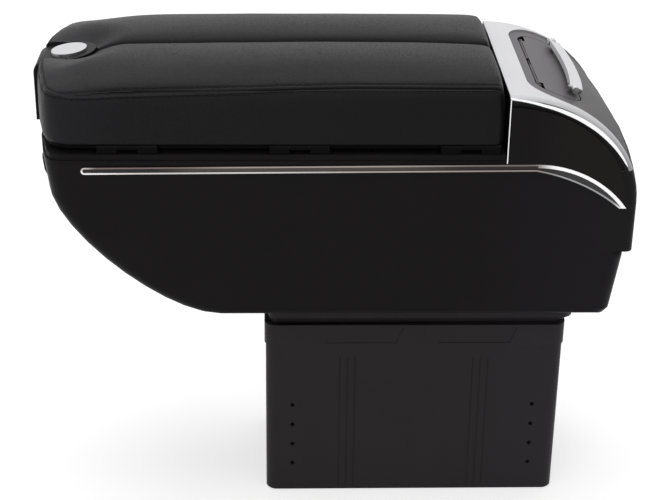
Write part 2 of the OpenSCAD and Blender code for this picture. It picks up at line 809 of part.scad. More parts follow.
module panel_outline() difference() {
    intersection() {
        ellipse_field(strip_low);
        translate([hood_front + 1.2, 0]) square([hood_len - hood_bulge - 7, far]);
    }
    trim_under(panel_joint);
}

// The field below the side trim's upper edge
module trim_under(gap) {
    translate([-far, 0]) square([far + trim_rear, trim_top_rear + gap]);
    translate([0, 0]) square([far, trim_top_rear - trim_tip_drop + 1 + gap]);
    translate([trim_rear, trim_top_rear - trim_arc_r]) circle(trim_arc_r + gap, $fn = 96);
}

module left_side_panel() color("#1f1918") side_panel(-1);
module right_side_panel() color("#1f1918") side_panel(1);

// Chrome hood trim: the upright leg and the strip along the curve
module hood_trim(side) intersection() {
    difference() {
        across(-far, far) union() {
            difference() {
                ellipse_field(strip_top);
                ellipse_field(strip_low);
                translate([0, 0]) square([far, strip_end]);
            }
            translate([hood_front, trim_top_rear])
                square([1.2, hood_z + hood_rise - strip_top - trim_top_rear]);
        }
        tub_outside();
        cover_outside();
    }
    side_slab(side, half_w - hood_round, half_w + panel_t + strip_proud);
}
module left_hood_trim() color("#e6e6e6") hood_trim(-1);
module right_hood_trim() color("#e6e6e6") hood_trim(1);

// Side trim: a straight loop that widens and curves down to a point
module trim_outline(inset) {
    r = trim_h / 2 - inset;
    difference() {
        union() {
            translate([trim_front + trim_h / 2, trim_top_front - trim_h / 2]) circle(r, $fn = 32);
            polygon([
                [trim_front + trim_h / 2, trim_top_front - trim_h + inset],
                [trim_rear + 1, trim_top_rear - trim_h + inset],
                [trim_rear + 1, trim_top_rear - inset],
                [trim_front + trim_h / 2, trim_top_front - inset]
            ]);
        }
        translate([trim_front, trim_top_front + trim_h]) square([10, 10]);
    }
    intersection() {
        translate([trim_rear, trim_top_rear - trim_arc_r]) circle(trim_arc_r - inset * 2.2, $fn = 96);
        difference() {
            translate([trim_rear, trim_top_rear - trim_tip_drop + inset])
                square([60 - inset * 3, trim_tip_drop]);
            translate([trim_rear - trim_low_x, trim_top_rear - trim_h - trim_low_z])
                circle(trim_low_r + inset, $fn = 128);
        }
    }
}

module side_trim(side) difference() {
    intersection() {
        across(-far, far) trim_outline(0);
        side_slab(side, half_w, half_w + trim_proud);
    }
    intersection() {
        across(-far, far) trim_outline(trim_edge);
        side_slab(side, half_w + insert_y, half_w + trim_proud + 1);
    }
}
module left_side_trim() color("#e6e6e6") side_trim(-1);
module right_side_trim() color("#e6e6e6") side_trim(1);

// Dark insert in the trim's channel, with slanted ribs where the trim widens
module trim_insert(side) {
    intersection() {
        across(-far, far) trim_outline(trim_edge + insert_gap);
        side_slab(side, half_w + insert_y, half_w + insert_y + insert_t);
    }
    intersection() {
        across(-far, far) intersection() {
            trim_outline(trim_edge + insert_gap);
            for (i = [0 : 26]) translate([trim_rear + rib_start + i * rib_pitch, 0]) rib_stripe();
        }
        side_slab(side, half_w + insert_y, half_w + insert_y + 2 * insert_t);
    }
}
module rib_stripe() translate([0, trim_top_rear - rib_rise])
    polygon([[0, 0], [rib_w, 0], [rib_w - rib_rise / 2, rib_rise], [-rib_rise / 2, rib_rise]]);
module left_trim_insert() color("#6a686a") trim_insert(-1);
module right_trim_insert() color("#6a686a") trim_insert(1);

// Ashtray bin under the lid, with the two ears that carry the lid's pin
module ashtray_bin() color("#2a282a") {
    difference() {
        intersection() {
            hood_form(cover_inner + bin_seat);
            bin_block(0, bin_floor);
        }
        bin_block(bin_wall, bin_floor + bin_wall);
    }
    for (side = [-1, 1]) difference() {
        union() {
            lid_rod(side, ear_in, ear_out, lid_barrel_r);
            ear_bracket(side);
        }
        lid_rod(side, ear_in - 1, ear_out + 1, lid_pin_r + pin_gap);
    }
}
module bin_block(inset, z) translate([hood_front + lid_front - bin_gap + inset, -lid_half - bin_gap + inset, z])
    cube([lid_rear - lid_front + 2 * (bin_gap - inset), 2 * (lid_half + bin_gap - inset), hood_rise]);

// A round rod on the lid's hinge line, between two distances from the middle
module lid_rod(side, y0, y1, r) rod(lid_pin_x, lid_pin_z, r, side > 0 ? y0 : -y1, side > 0 ? y1 : -y0);

// Bracket that runs from an ear to the bin's front wall, under the cover
module ear_bracket(side) {
    x0 = hood_front + lid_front - bin_gap + bin_wall / 2;
    z1 = lid_pin_z + lid_barrel_r - cover_t - 0.1;
    translate([x0, side > 0 ? ear_in : -ear_out, z1 - bin_wall])
        cube([lid_pin_x - x0, ear_out - ear_in, bin_wall]);
}

// Ashtray lid, curved as the cover, hinged at its front edge
module ashtray_lid() color("#4a484a") difference() {
    union() {
        intersection() {
            difference() {
                hood_form(deck_inset);
                hood_form(cover_inner);
            }
            prism(rim_z, rim_z + hood_rise) difference() {
                lid_plan(0);
                lid_front_cut();
            }
        }
        for (side = [-1, 1]) lid_rod(side, notch_half, ear_in - ear_gap, lid_barrel_r);
    }
    rod(lid_pin_x, lid_pin_z, lid_pin_r + pin_gap, -lid_half, lid_half);
}

// What the lid's plate leaves free: the hinge line and the ears at its two front corners
module lid_front_cut() {
    translate([0, -far / 2]) square([lid_pin_x, far]);
    for (side = [-1, 1]) translate([0, side > 0 ? ear_in - ear_gap : ear_gap - ear_in - far])
        square([lid_pin_x + lid_barrel_r + 1, far]);
}

module ashtray_pin() color("silver") rod(lid_pin_x, lid_pin_z, lid_pin_r, -ear_out + 0.4, ear_out - 0.4);

// Chrome bar handle across the lid, bowed, on two posts
module ashtray_handle() color("#e6e6e6")
    translate([handle_x + post_x, 0, handle_foot]) rotate([0, handle_slope, 0]) translate([-post_x, 0, 0]) {
        translate([0, 0, handle_lift]) linear_extrude(handle_t) intersection() {
            difference() {
                translate([-handle_bow + handle_w / 2 + 1, 0]) circle(handle_bow, $fn = 256);
                translate([-handle_bow - handle_w / 2 + 1, 0]) circle(handle_bow, $fn = 256);
            }
            square([handle_bow / 4, 2 * handle_half], center = true);
        }
        for (side = [-1, 1]) {
            translate([post_x, side * post_y, 0.05]) cylinder(handle_lift + 0.5, r = post_r, $fn = 32);
            translate([post_x, side * (handle_half + 1), handle_lift + handle_t / 2]) rotate([90, 0, 0])
                cylinder(knob_len, r = knob_r, center = true, $fn = round_fn);
        }
    }

base_sleeve();
neck_sleeve();
neck_screws();
body_tub();
top_frame();
frame_screws();
front_plate();
button_housing();
button_cap();
button_plunger();
button_spring();
latch_bar();
latch_spring();
left_door_shell();
right_door_shell();
left_pad();
right_pad();
left_hinge_pin();
right_hinge_pin();
rear_cover();
silver_frame();
left_side_panel();
right_side_panel();
left_hood_trim();
right_hood_trim();
left_side_trim();
right_side_trim();
left_trim_insert();
right_trim_insert();
ashtray_bin();
ashtray_lid();
ashtray_handle();
ashtray_pin();
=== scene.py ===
import math

import bmesh
import bpy
import numpy as np
from mathutils import Matrix, Vector
from mathutils.bvhtree import BVHTree


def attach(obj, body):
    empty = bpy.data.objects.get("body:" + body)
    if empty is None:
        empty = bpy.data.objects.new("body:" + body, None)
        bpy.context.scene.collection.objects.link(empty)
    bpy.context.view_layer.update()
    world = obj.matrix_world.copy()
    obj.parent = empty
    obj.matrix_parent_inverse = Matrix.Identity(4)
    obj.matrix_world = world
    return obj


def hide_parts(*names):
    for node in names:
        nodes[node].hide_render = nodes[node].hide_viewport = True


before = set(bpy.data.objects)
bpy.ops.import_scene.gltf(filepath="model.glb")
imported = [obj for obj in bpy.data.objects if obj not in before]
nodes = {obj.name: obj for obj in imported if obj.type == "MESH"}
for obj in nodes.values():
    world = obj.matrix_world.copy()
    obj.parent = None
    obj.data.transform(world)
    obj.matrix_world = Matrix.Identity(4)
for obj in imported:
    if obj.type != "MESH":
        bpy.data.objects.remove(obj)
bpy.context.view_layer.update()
scene = bpy.context.scene
mm = 0.001
print("frame loaded:", len(nodes), "nodes")


# A screen colour written in hexadecimal, as Blender's linear colour
def paint(hexColour):
    parts = [int(hexColour[i:i + 2], 16) / 255 for i in (1, 3, 5)]
    return tuple(p / 12.92 if p <= 0.04045 else ((p + 0.055) / 1.055) ** 2.4 for p in parts) + (1.0,)


# Shader node groups shared by the materials
def newGroup(name, inputs, outputs):
    tree = bpy.data.node_groups.new(name, "ShaderNodeTree")
    for label, kind, value in inputs:
        socket = tree.interface.new_socket(label, in_out="INPUT", socket_type=kind)
        if value is not None:
            socket.default_value = value
    for label, kind in outputs:
        tree.interface.new_socket(label, in_out="OUTPUT", socket_type=kind)
    return tree, tree.nodes.new("NodeGroupInput"), tree.nodes.new("NodeGroupOutput")


def put(tree, kind, links=None, **settings):
    node = tree.nodes.new(kind)
    for key, value in settings.items():
        setattr(node, key, value)
    for socket, value in (links or {}).items():
        target = node.inputs[socket]
        if isinstance(value, bpy.types.NodeSocket):
            tree.links.new(value, target)
        else:
            target.default_value = value
    return node


def mathNode(tree, operation, a, b=0.5):
    return put(tree, "ShaderNodeMath", {0: a, 1: b}, operation=operation).outputs[0]


def ranged(tree, value, fromLow, fromHigh, low=0.0, high=1.0, **settings):
    links = {"Value": value, 1: fromLow, 2: fromHigh, 3: low, 4: high}
    return put(tree, "ShaderNodeMapRange", links, **settings).outputs[0]


def component(tree, vector, axis):
    return put(tree, "ShaderNodeSeparateXYZ", {0: vector}).outputs[axis]


def normalUp(tree):
    return component(tree, put(tree, "ShaderNodeNewGeometry").outputs["Normal"], "Z")


# What the camera, gloss and glass see at once, for the white background
def seenDirectly(tree):
    path = put(tree, "ShaderNodeLightPath").outputs
    seen = mathNode(tree, "MAXIMUM", path["Is Camera Ray"], path["Is Glossy Ray"])
    return mathNode(tree, "MAXIMUM", seen, path["Is Transmission Ray"])


def leatherGrainGroup():
    tree, start, end = newGroup(
        "leatherGrain",
        [("Vector", "NodeSocketVector", None), ("Cells", "NodeSocketFloat", 900.0),
         ("Folds", "NodeSocketFloat", 0.3), ("Warp", "NodeSocketVector", (0.0016, 0.0016, 0.0016))],
        [("Height", "NodeSocketFloat"), ("Crease", "NodeSocketFloat")])
    spot = start.outputs["Vector"]
    warp = put(tree, "ShaderNodeTexNoise", {"Vector": spot, "Scale": 240.0, "Detail": 3.0})
    bent = put(tree, "ShaderNodeVectorMath", {0: warp.outputs["Color"], 1: start.outputs["Warp"]},
               operation="MULTIPLY")
    place = put(tree, "ShaderNodeVectorMath", {0: spot, 1: bent.outputs[0]}, operation="ADD")
    cells = put(tree, "ShaderNodeTexVoronoi", {"Vector": place.outputs[0], "Scale": start.outputs["Cells"]},
                feature="DISTANCE_TO_EDGE")
    flat = ranged(tree, cells.outputs["Distance"], 0.0, 0.22, interpolation_type="SMOOTHSTEP")
    wide = put(tree, "ShaderNodeTexNoise", {"Vector": spot, "Scale": 34.0, "Detail": 4.0, "Distortion": 0.6})
    folds = mathNode(tree, "MULTIPLY", wide.outputs["Fac"], start.outputs["Folds"])
    tree.links.new(mathNode(tree, "ADD", flat, folds), end.inputs["Height"])
    tree.links.new(mathNode(tree, "SUBTRACT", 1.0, flat), end.inputs["Crease"])
    return tree


def mouldedGrainGroup():
    tree, start, end = newGroup(
        "mouldedGrain",
        [("Vector", "NodeSocketVector", None), ("Fineness", "NodeSocketFloat", 1600.0)],
        [("Height", "NodeSocketFloat"), ("Patch", "NodeSocketFloat")])
    spot = start.outputs["Vector"]
    pits = put(tree, "ShaderNodeTexVoronoi", {"Vector": spot, "Scale": start.outputs["Fineness"]},
               feature="SMOOTH_F1")
    fine = put(tree, "ShaderNodeTexNoise", {"Vector": spot, "Scale": 700.0, "Detail": 2.0})
    wide = put(tree, "ShaderNodeTexNoise", {"Vector": spot, "Scale": 22.0, "Detail": 5.0, "Roughness": 0.6})
    tree.links.new(mathNode(tree, "ADD", pits.outputs["Distance"], fine.outputs["Fac"]), end.inputs["Height"])
    tree.links.new(ranged(tree, wide.outputs["Fac"], 0.3, 0.72), end.inputs["Patch"])
    return tree


def dustGroup():
    tree, start, end = newGroup(
        "settledDust",
        [("Vector", "NodeSocketVector", None), ("Amount", "NodeSocketFloat", 0.2)],
        [("Mask", "NodeSocketFloat")])
    specks = put(tree, "ShaderNodeTexNoise", {
        "Vector": start.outputs["Vector"], "Scale": 60.0, "Detail": 8.0, "Roughness": 0.75})
    some = mathNode(tree, "MULTIPLY", ranged(tree, normalUp(tree), 0.1, 1.0), specks.outputs["Fac"])
    tree.links.new(mathNode(tree, "MULTIPLY", some, start.outputs["Amount"]), end.inputs["Mask"])
    return tree


def brushedGroup():
    tree, start, end = newGroup(
        "brushedLines",
        [("Vector", "NodeSocketVector", None), ("Stretch", "NodeSocketVector", (1.0, 1.0, 1.0))],
        [("Height", "NodeSocketFloat"), ("Streak", "NodeSocketFloat")])
    long = put(tree, "ShaderNodeVectorMath", {0: start.outputs["Vector"], 1: start.outputs["Stretch"]},
               operation="MULTIPLY")
    lines = put(tree, "ShaderNodeTexNoise", {"Vector": long.outputs[0], "Scale": 900.0, "Detail": 3.0})
    tree.links.new(lines.outputs["Fac"], end.inputs["Height"])
    tree.links.new(lines.outputs["Fac"], end.inputs["Streak"])
    return tree


# The pad's seam and the two sewn rows beside it, in mm over the surface
seamSizes = {
    "line": 0.5, "lineWidth": 0.8, "rowAbove": 2.7, "rowBelow": 2.7, "rowDepth": 0.2, "rowWidth": 0.7,
    "pillow": 0.55, "pillowAt": 1.35, "pillowWidth": 0.8, "pucker": 0.08, "puckerStep": 7.0, "puckerLean": 0.7,
    "edgeIn": 1.7, "shoulder": 3.0, "reach": 9.0, "markWidth": 0.5, "swellHighlightWidth": 0.6, "rearEnd": 1.0,
}


def sewnSeamGroup():
    tree, start, end = newGroup(
        "sewnSeam",
        [("Away", "NodeSocketFloat", 40.0), ("Row Above", "NodeSocketFloat", seamSizes["rowAbove"]),
         ("Row Below", "NodeSocketFloat", -seamSizes["rowBelow"]),
         ("Width", "NodeSocketFloat", seamSizes["markWidth"])],
        [("Line", "NodeSocketFloat"), ("Rows", "NodeSocketFloat"), ("Swell", "NodeSocketFloat"),
         ("Height", "NodeSocketFloat")])
    away = start.outputs["Away"]

    def ridge(centre, width=start.outputs["Width"]):
        off = mathNode(tree, "DIVIDE", mathNode(tree, "SUBTRACT", away, centre), width)
        return mathNode(tree, "EXPONENT", mathNode(tree, "MULTIPLY", mathNode(tree, "MULTIPLY", off, off), -1.0))

    line = ridge(0.0)
    rows = mathNode(tree, "ADD", ridge(start.outputs["Row Above"]), ridge(start.outputs["Row Below"]))
    tree.links.new(line, end.inputs["Line"])
    tree.links.new(rows, end.inputs["Rows"])
    # Where the leather swells beside the seam, for its painted highlight
    at, width = seamSizes["pillowAt"], seamSizes["swellHighlightWidth"]
    tree.links.new(mathNode(tree, "ADD", ridge(at, width), ridge(-at, width)), end.inputs["Swell"])
    deep = mathNode(tree, "ADD", mathNode(tree, "MULTIPLY", rows, 0.6), line)
    tree.links.new(mathNode(tree, "MULTIPLY", deep, -1.0), end.inputs["Height"])
    return tree


# How far a face turns up, for painted light on tops and painted shade on sides
def facingGroup():
    tree, start, end = newGroup(
        "upwardLight",
        [("Low", "NodeSocketFloat", 0.4), ("High", "NodeSocketFloat", 0.95)],
        [("Mask", "NodeSocketFloat")])
    upward = ranged(tree, normalUp(tree), start.outputs["Low"], start.outputs["High"],
                    interpolation_type="SMOOTHSTEP")
    tree.links.new(upward, end.inputs["Mask"])
    return tree


def alongGroup():
    tree, start, end = newGroup(
        "alongAxis",
        [("Vector", "NodeSocketVector", None), ("Axis", "NodeSocketVector", (1.0, 0.0, 0.0)),
         ("From", "NodeSocketFloat", 0.0), ("To", "NodeSocketFloat", 0.1)],
        [("Mask", "NodeSocketFloat")])
    reach = put(tree, "ShaderNodeVectorMath", {0: start.outputs["Vector"], 1: start.outputs["Axis"]},
                operation="DOT_PRODUCT").outputs["Value"]
    along = ranged(tree, reach, start.outputs["From"], start.outputs["To"], interpolation_type="SMOOTHSTEP")
    tree.links.new(along, end.inputs["Mask"])
    return tree


def roundGroup():
    tree, start, end = newGroup(
        "insideOval",
        [("Vector", "NodeSocketVector", None), ("Centre", "NodeSocketVector", (0.0, 0.0, 0.0)),
         ("Shape", "NodeSocketVector", (1.0, 0.0, 1.0)), ("Outer", "NodeSocketFloat", 1.0),
         ("Inner", "NodeSocketFloat", 0.9)],
        [("Mask", "NodeSocketFloat")])
    moved = put(tree, "ShaderNodeVectorMath", {0: start.outputs["Vector"], 1: start.outputs["Centre"]},
                operation="SUBTRACT").outputs[0]
    shaped = put(tree, "ShaderNodeVectorMath", {0: moved, 1: start.outputs["Shape"]}, operation="MULTIPLY").outputs[0]
    reach = put(tree, "ShaderNodeVectorMath", {0: shaped}, operation="LENGTH").outputs["Value"]
    tree.links.new(ranged(tree, reach, start.outputs["Outer"], start.outputs["Inner"]), end.inputs["Mask"])
    return tree


leatherGrain = leatherGrainGroup()
mouldedGrain = mouldedGrainGroup()
settledDust = dustGroup()
brushedLines = brushedGroup()
sewnSeam = sewnSeamGroup()
upwardLight = facingGroup()
alongAxis = alongGroup()
insideOval = roundGroup()


def newMaterial(name):
    material = bpy.data.materials.new(name)
    material.use_nodes = True
    tree = material.node_tree
    shader = tree.nodes["Principled BSDF"]
    place = put(tree, "ShaderNodeTexCoord").outputs["Object"]
    return material, tree, shader, place


def useGroup(tree, group, place=None, **values):
    node = put(tree, "ShaderNodeGroup", node_tree=group)
    if place is not None:
        tree.links.new(place, node.inputs["Vector"])
    for key, value in values.items():
        node.inputs[key].default_value = value
    return node


# Each tone: a direction, where along it the change starts and ends in metres, and the colour after it
def toned(tree, place, colour, tones):
    for axis, low, high, tone in tones:
        mask = useGroup(tree, alongAxis, place, Axis=axis, From=low, To=high)
        colour = mixColour(tree, mask.outputs["Mask"], colour, paint(tone))
    return colour


def mixColour(tree, factor, low, high):
    return put(tree, "ShaderNodeMix", {0: factor, 6: low, 7: high}, data_type="RGBA").outputs[2]


def bumpInto(tree, shader, height, strength, distance):
    bump = put(tree, "ShaderNodeBump", {"Height": height, "Strength": strength, "Distance": distance})
    tree.links.new(bump.outputs[0], shader.inputs["Normal"])


reliefDepth = {"grain": 0.00003, "brushed": 0.00002, "seam": 0.0006, "leather": 0.00007}  # in metres
dustColour = paint("#8a8684")
lengthwise, upright = (1.0, 0.0, 0.0), (0.0, 0.0, 1.0)


def mouldedPlastic(name, colour, patchColour, roughness, shine, fineness=1500.0, strength=0.35, dust=0.05,
                   shadedSideColour=None, upward=(0.4, 0.95), tones=()):
    material, tree, shader, place = newMaterial(name)
    grain = useGroup(tree, mouldedGrain, place, Fineness=fineness)
    specks = useGroup(tree, settledDust, place, Amount=dust)
    base = mixColour(tree, grain.outputs["Patch"], paint(colour), paint(patchColour))
    if shadedSideColour:
        # Faces turned away from the top take the side colour: painted shade on the sides, painted light on the top
        lit = useGroup(tree, upwardLight, Low=upward[0], High=upward[1])
        base = mixColour(tree, lit.outputs["Mask"], paint(shadedSideColour), base)
    base = toned(tree, place, base, tones)
    dusty = mixColour(tree, specks.outputs["Mask"], base, dustColour)
    tree.links.new(dusty, shader.inputs["Base Color"])
    tree.links.new(ranged(tree, grain.outputs["Patch"], 0.0, 1.0, *roughness), shader.inputs["Roughness"])
    shader.inputs["Specular IOR Level"].default_value = shine
    bumpInto(tree, shader, grain.outputs["Height"], strength, reliefDepth["grain"])
    return material


def metalFinish(name, colour, streakColour, roughness, stretch=(1.0, 1.0, 1.0), strength=0.05):
    material, tree, shader, place = newMaterial(name)
    lines = useGroup(tree, brushedLines, place, Stretch=stretch)
    streaked = mixColour(tree, lines.outputs["Streak"], paint(colour), paint(streakColour))
    tree.links.new(streaked, shader.inputs["Base Color"])
    shader.inputs["Metallic"].default_value = 1.0
    tree.links.new(ranged(tree, lines.outputs["Streak"], 0.0, 1.0, *roughness), shader.inputs["Roughness"])
    bumpInto(tree, shader, lines.outputs["Height"], strength, reliefDepth["brushed"])
    return material


# The leather's colours, with painted shade on the rear of its sides, on the top near the outer edge and in the seam's
# grooves, and painted light at the front and on the swells beside the seam: hexadecimal colours, and shares and
# places in metres of the shades over its base
leatherLook = {
    "base": "#19181a", "crease": "#121113", "rearSide": "#121113", "front": "#252427", "rim": "#0c0b0d",
    "swollen": "#272628", "mark": "#050505", "dust": "#6c696c", "rearFrom": -0.1, "rearTo": 0.04, "frontFrom": -0.18,
    "frontTo": -0.12, "frontShare": 0.45, "rimFrom": 0.046, "rimTo": 0.064, "rimShare": 0.4, "swellHighlightShare": 0.6,
    "rowShare": 0.7, "seamShadeMost": 0.9, "markDull": 0.35, "shine": 0.11, "sheen": 0.02, "sheenRough": 0.4,
}


def coverLeather(name):
    look = leatherLook
    material, tree, shader, place = newMaterial(name)
    grain = useGroup(tree, leatherGrain, place, Cells=760.0, Folds=0.35)
    specks = useGroup(tree, settledDust, place, Amount=0.03)
    base = mixColour(tree, grain.outputs["Crease"], paint(look["base"]), paint(look["crease"]))
    away = put(tree, "ShaderNodeAttribute", attribute_name="seamAway")
    sewn = useGroup(tree, sewnSeam)
    tree.links.new(away.outputs["Fac"], sewn.inputs["Away"])
    rows = mathNode(tree, "MULTIPLY", sewn.outputs["Rows"], look["rowShare"])
    seamGrooves = mathNode(tree, "ADD", sewn.outputs["Line"], rows)
    top = useGroup(tree, upwardLight, Low=0.1, High=0.6).outputs["Mask"]
    # Sides darker toward the rear: painted shade
    rearward = useGroup(tree, alongAxis, place, From=look["rearFrom"], To=look["rearTo"])
    rearSide = mathNode(tree, "MULTIPLY", mathNode(tree, "SUBTRACT", 1.0, top), rearward.outputs["Mask"])
    base = mixColour(tree, rearSide, base, paint(look["rearSide"]))
    # Lighter at the front: painted light
    front = useGroup(tree, alongAxis, place, From=look["frontFrom"], To=look["frontTo"])
    behind = ranged(tree, front.outputs["Mask"], 0.0, 1.0, look["frontShare"], 1.0)
    base = mixColour(tree, behind, paint(look["front"]), base)
    # Top darker near its outer edge: painted shade
    sideways = mathNode(tree, "ABSOLUTE", component(tree, place, "Y"))
    rim = ranged(tree, sideways, look["rimFrom"], look["rimTo"], 0.0, look["rimShare"])
    base = mixColour(tree, mathNode(tree, "MULTIPLY", rim, top), base, paint(look["rim"]))
    # Lighter on the swells beside the seam: painted highlight
    swollen = mathNode(tree, "MULTIPLY", sewn.outputs["Swell"], look["swellHighlightShare"])
    base = mixColour(tree, swollen, base, paint(look["swollen"]))
    # Seam line and sewn rows darkened: painted shade in the grooves
    withPaintedLight = mixColour(tree, mathNode(tree, "MINIMUM", seamGrooves, look["seamShadeMost"]), base, paint(look["mark"]))
    dusty = mixColour(tree, specks.outputs["Mask"], withPaintedLight, paint(look["dust"]))
    tree.links.new(dusty, shader.inputs["Base Color"])
    dull = ranged(tree, grain.outputs["Crease"], 0.0, 1.0, 0.4, 0.55)
    dull = mathNode(tree, "ADD", dull, mathNode(tree, "MULTIPLY", seamGrooves, look["markDull"]))
    tree.links.new(dull, shader.inputs["Roughness"])
    shader.inputs["Specular IOR Level"].default_value = look["shine"]
    shader.inputs["Sheen Weight"].default_value = look["sheen"]
    shader.inputs["Sheen Roughness"].default_value = look["sheenRough"]
    relief = put(tree, "ShaderNodeBump", {
        "Height": sewn.outputs["Height"], "Strength": 0.9, "Distance": reliefDepth["seam"]})
    fine = put(tree, "ShaderNodeBump", {
        "Height": grain.outputs["Height"], "Strength": 0.35, "Distance": reliefDepth["leather"],
        "Normal": relief.outputs[0]})
    tree.links.new(fine.outputs[0], shader.inputs["Normal"])
    return material


# The trim's two rails: the line between them is straight at first and then bends down round a centre
trimRails = {
    "slope": (-0.00833, 0.0, 1.0), "low": 0.25005, "high": 0.25045, "centre": (0.12, 0.0, 0.1825), "outer": 0.0683,
    "inner": 0.0689, "bendFrom": 0.119, "bendTo": 0.122,
}


def trimChrome(name):
    t = trimRails
    material, tree, shader, place = newMaterial(name)
    lines = useGroup(tree, brushedLines, place, Stretch=(0.2, 1.0, 1.0))
    # Each rail's colour changes along its length: painted reflection of the surroundings on the chrome
    upperRailReflection = toned(tree, place, paint("#b9b4b1"), [
        (lengthwise, -0.154, -0.146, "#6d6461"), (lengthwise, -0.1, -0.06, "#968e8a"),
        (lengthwise, 0.03, 0.09, "#6f6865"), (lengthwise, 0.118, 0.134, "#f6f6f7")])
    lowerRailReflection = toned(tree, place, paint("#f0eeed"), [
        (lengthwise, -0.152, -0.12, "#cbc7c5"), (lengthwise, -0.06, 0.03, "#9d9793"),
        (lengthwise, 0.04, 0.1, "#8a8481"), (lengthwise, 0.122, 0.14, "#9c9c9e"),
        (lengthwise, 0.168, 0.174, "#dededf")])
    straight = useGroup(tree, alongAxis, place, Axis=t["slope"], From=t["low"], To=t["high"])
    curved = useGroup(tree, insideOval, place, Centre=t["centre"], Outer=t["outer"], Inner=t["inner"])
    rear = useGroup(tree, alongAxis, place, Axis=lengthwise, From=t["bendFrom"], To=t["bendTo"])
    high = put(tree, "ShaderNodeMix", {
        0: rear.outputs["Mask"], 2: straight.outputs["Mask"], 3: curved.outputs["Mask"]}).outputs[0]
    tone = mixColour(tree, high, lowerRailReflection, upperRailReflection)
    withPaintedLight = mixColour(tree, mathNode(tree, "MULTIPLY", lines.outputs["Streak"], 0.12), tone, paint("#5d5654"))
    tree.links.new(withPaintedLight, shader.inputs["Base Color"])
    shader.inputs["Metallic"].default_value = 1.0
    tree.links.new(ranged(tree, lines.outputs["Streak"], 0.0, 1.0, 0.08, 0.14), shader.inputs["Roughness"])
    bumpInto(tree, shader, lines.outputs["Height"], 0.05, reliefDepth["brushed"])
    return material


# Below the hood's chrome line the frame's side is black, as the panel beside it
hoodEdge = {
    "centre": (0.1018, 0.0, 0.226), "shape": (12.165, 0.0, 14.124), "outer": 0.974, "inner": 0.968,
    "sideFrom": 0.0731, "sideTo": 0.0735,
}


def hoodLacquer(name):
    h = hoodEdge
    material, tree, shader, place = newMaterial(name)
    grain = useGroup(tree, mouldedGrain, place, Fineness=2200.0)
    specks = useGroup(tree, settledDust, place, Amount=0.02)
    base = mixColour(tree, grain.outputs["Patch"], paint("#cccccf"), paint("#d3d3d6"))
    # Sides darker than the top: painted shade
    lit = useGroup(tree, upwardLight, Low=0.05, High=0.7)
    base = mixColour(tree, lit.outputs["Mask"], paint("#a9a9ab"), base)
    inner = useGroup(tree, insideOval, place, Centre=h["centre"], Shape=h["shape"], Outer=h["outer"],
                     Inner=h["inner"])
    outer = ranged(tree, mathNode(tree, "ABSOLUTE", component(tree, place, "Y")), h["sideFrom"], h["sideTo"])
    side = mathNode(tree, "MULTIPLY", inner.outputs["Mask"], outer)
    base = mixColour(tree, side, base, paint("#0f0b0b"))
    dusty = mixColour(tree, specks.outputs["Mask"], base, dustColour)
    tree.links.new(dusty, shader.inputs["Base Color"])
    tree.links.new(ranged(tree, grain.outputs["Patch"], 0.0, 1.0, 0.26, 0.34), shader.inputs["Roughness"])
    shader.inputs["Specular IOR Level"].default_value = 0.15
    bumpInto(tree, shader, grain.outputs["Height"], 0.1, reliefDepth["grain"])
    return material


# Body: lighter toward the rear, painted light
bodyPlastic = mouldedPlastic("bodyPlastic", "#181617", "#1c1a1b", (0.38, 0.48), 0.06,
                             tones=[(lengthwise, 0.06, 0.17, "#1f1d20")])
# Frame: near black above 258.5 mm, painted shade in the gap under the pads
framePlastic = mouldedPlastic("framePlastic", "#191718", "#1d1b1c", (0.4, 0.5), 0.05,
                              tones=[(upright, 0.2583, 0.2587, "#040404")])
# Base: lighter toward the rear, painted light
basePlastic = mouldedPlastic("basePlastic", "#2a2728", "#2e2b2c", (0.4, 0.5), 0.11, fineness=1200.0,
                             tones=[(lengthwise, 0.07, 0.15, "#302c30")])
innerPlastic = mouldedPlastic("innerPlastic", "#070607", "#0a090a", (0.5, 0.62), 0.04)
binPlastic = mouldedPlastic("binPlastic", "#0a090a", "#0e0d0e", (0.5, 0.62), 0.04,
                            tones=[(upright, 0.283, 0.286, "#4c4a4c")])
# Deck: a painted lit grey top and painted shaded near black sides
deckPlastic = mouldedPlastic("deckPlastic", "#5e5c5e", "#646264", (0.42, 0.52), 0.12, fineness=1700.0,
                             shadedSideColour="#121012", upward=(0.45, 1.0))
# Gloss panels: lighter toward the rear, painted reflection
glossBlack = mouldedPlastic("glossBlack", "#0c0808", "#100c0c", (0.1, 0.16), 0.1, fineness=300.0, strength=0.02,
                            dust=0.02, tones=[(lengthwise, 0.108, 0.15, "#1b1415")])
# Trim insert: lighter and darker stretches along its length, painted reflection
smokeInsert = mouldedPlastic("smokeInsert", "#2b292a", "#302e2f", (0.25, 0.35), 0.2, dust=0.02, tones=[
    (lengthwise, -0.115, -0.085, "#5e5856"), (lengthwise, 0.03, 0.08, "#332f30"),
    (lengthwise, 0.12, 0.14, "#4a484a")])
silverLacquer = hoodLacquer("silverLacquer")
# Handle: darker on faces not turned up, painted shade on its sides
handleSilver = mouldedPlastic("handleSilver", "#cfcfd1", "#d6d6d8", (0.2, 0.28), 0.4, fineness=2200.0, strength=0.1,
                              dust=0.02, shadedSideColour="#7a787a", upward=(0.1, 0.8))
chrome = metalFinish("chrome", "#ececee", "#f4f4f5", (0.05, 0.1))
sideChrome = trimChrome("sideChrome")
satinMetal = metalFinish("satinMetal", "#b4b4b6", "#bcbcbe", (0.3, 0.4), (0.05, 1.0, 1.0), 0.12)
springSteel = metalFinish("springSteel", "#9a9a9c", "#a8a8aa", (0.25, 0.35))
pinSteel = metalFinish("pinSteel", "#3c3b3c", "#474647", (0.3, 0.4))
padLeather = coverLeather("padLeather")

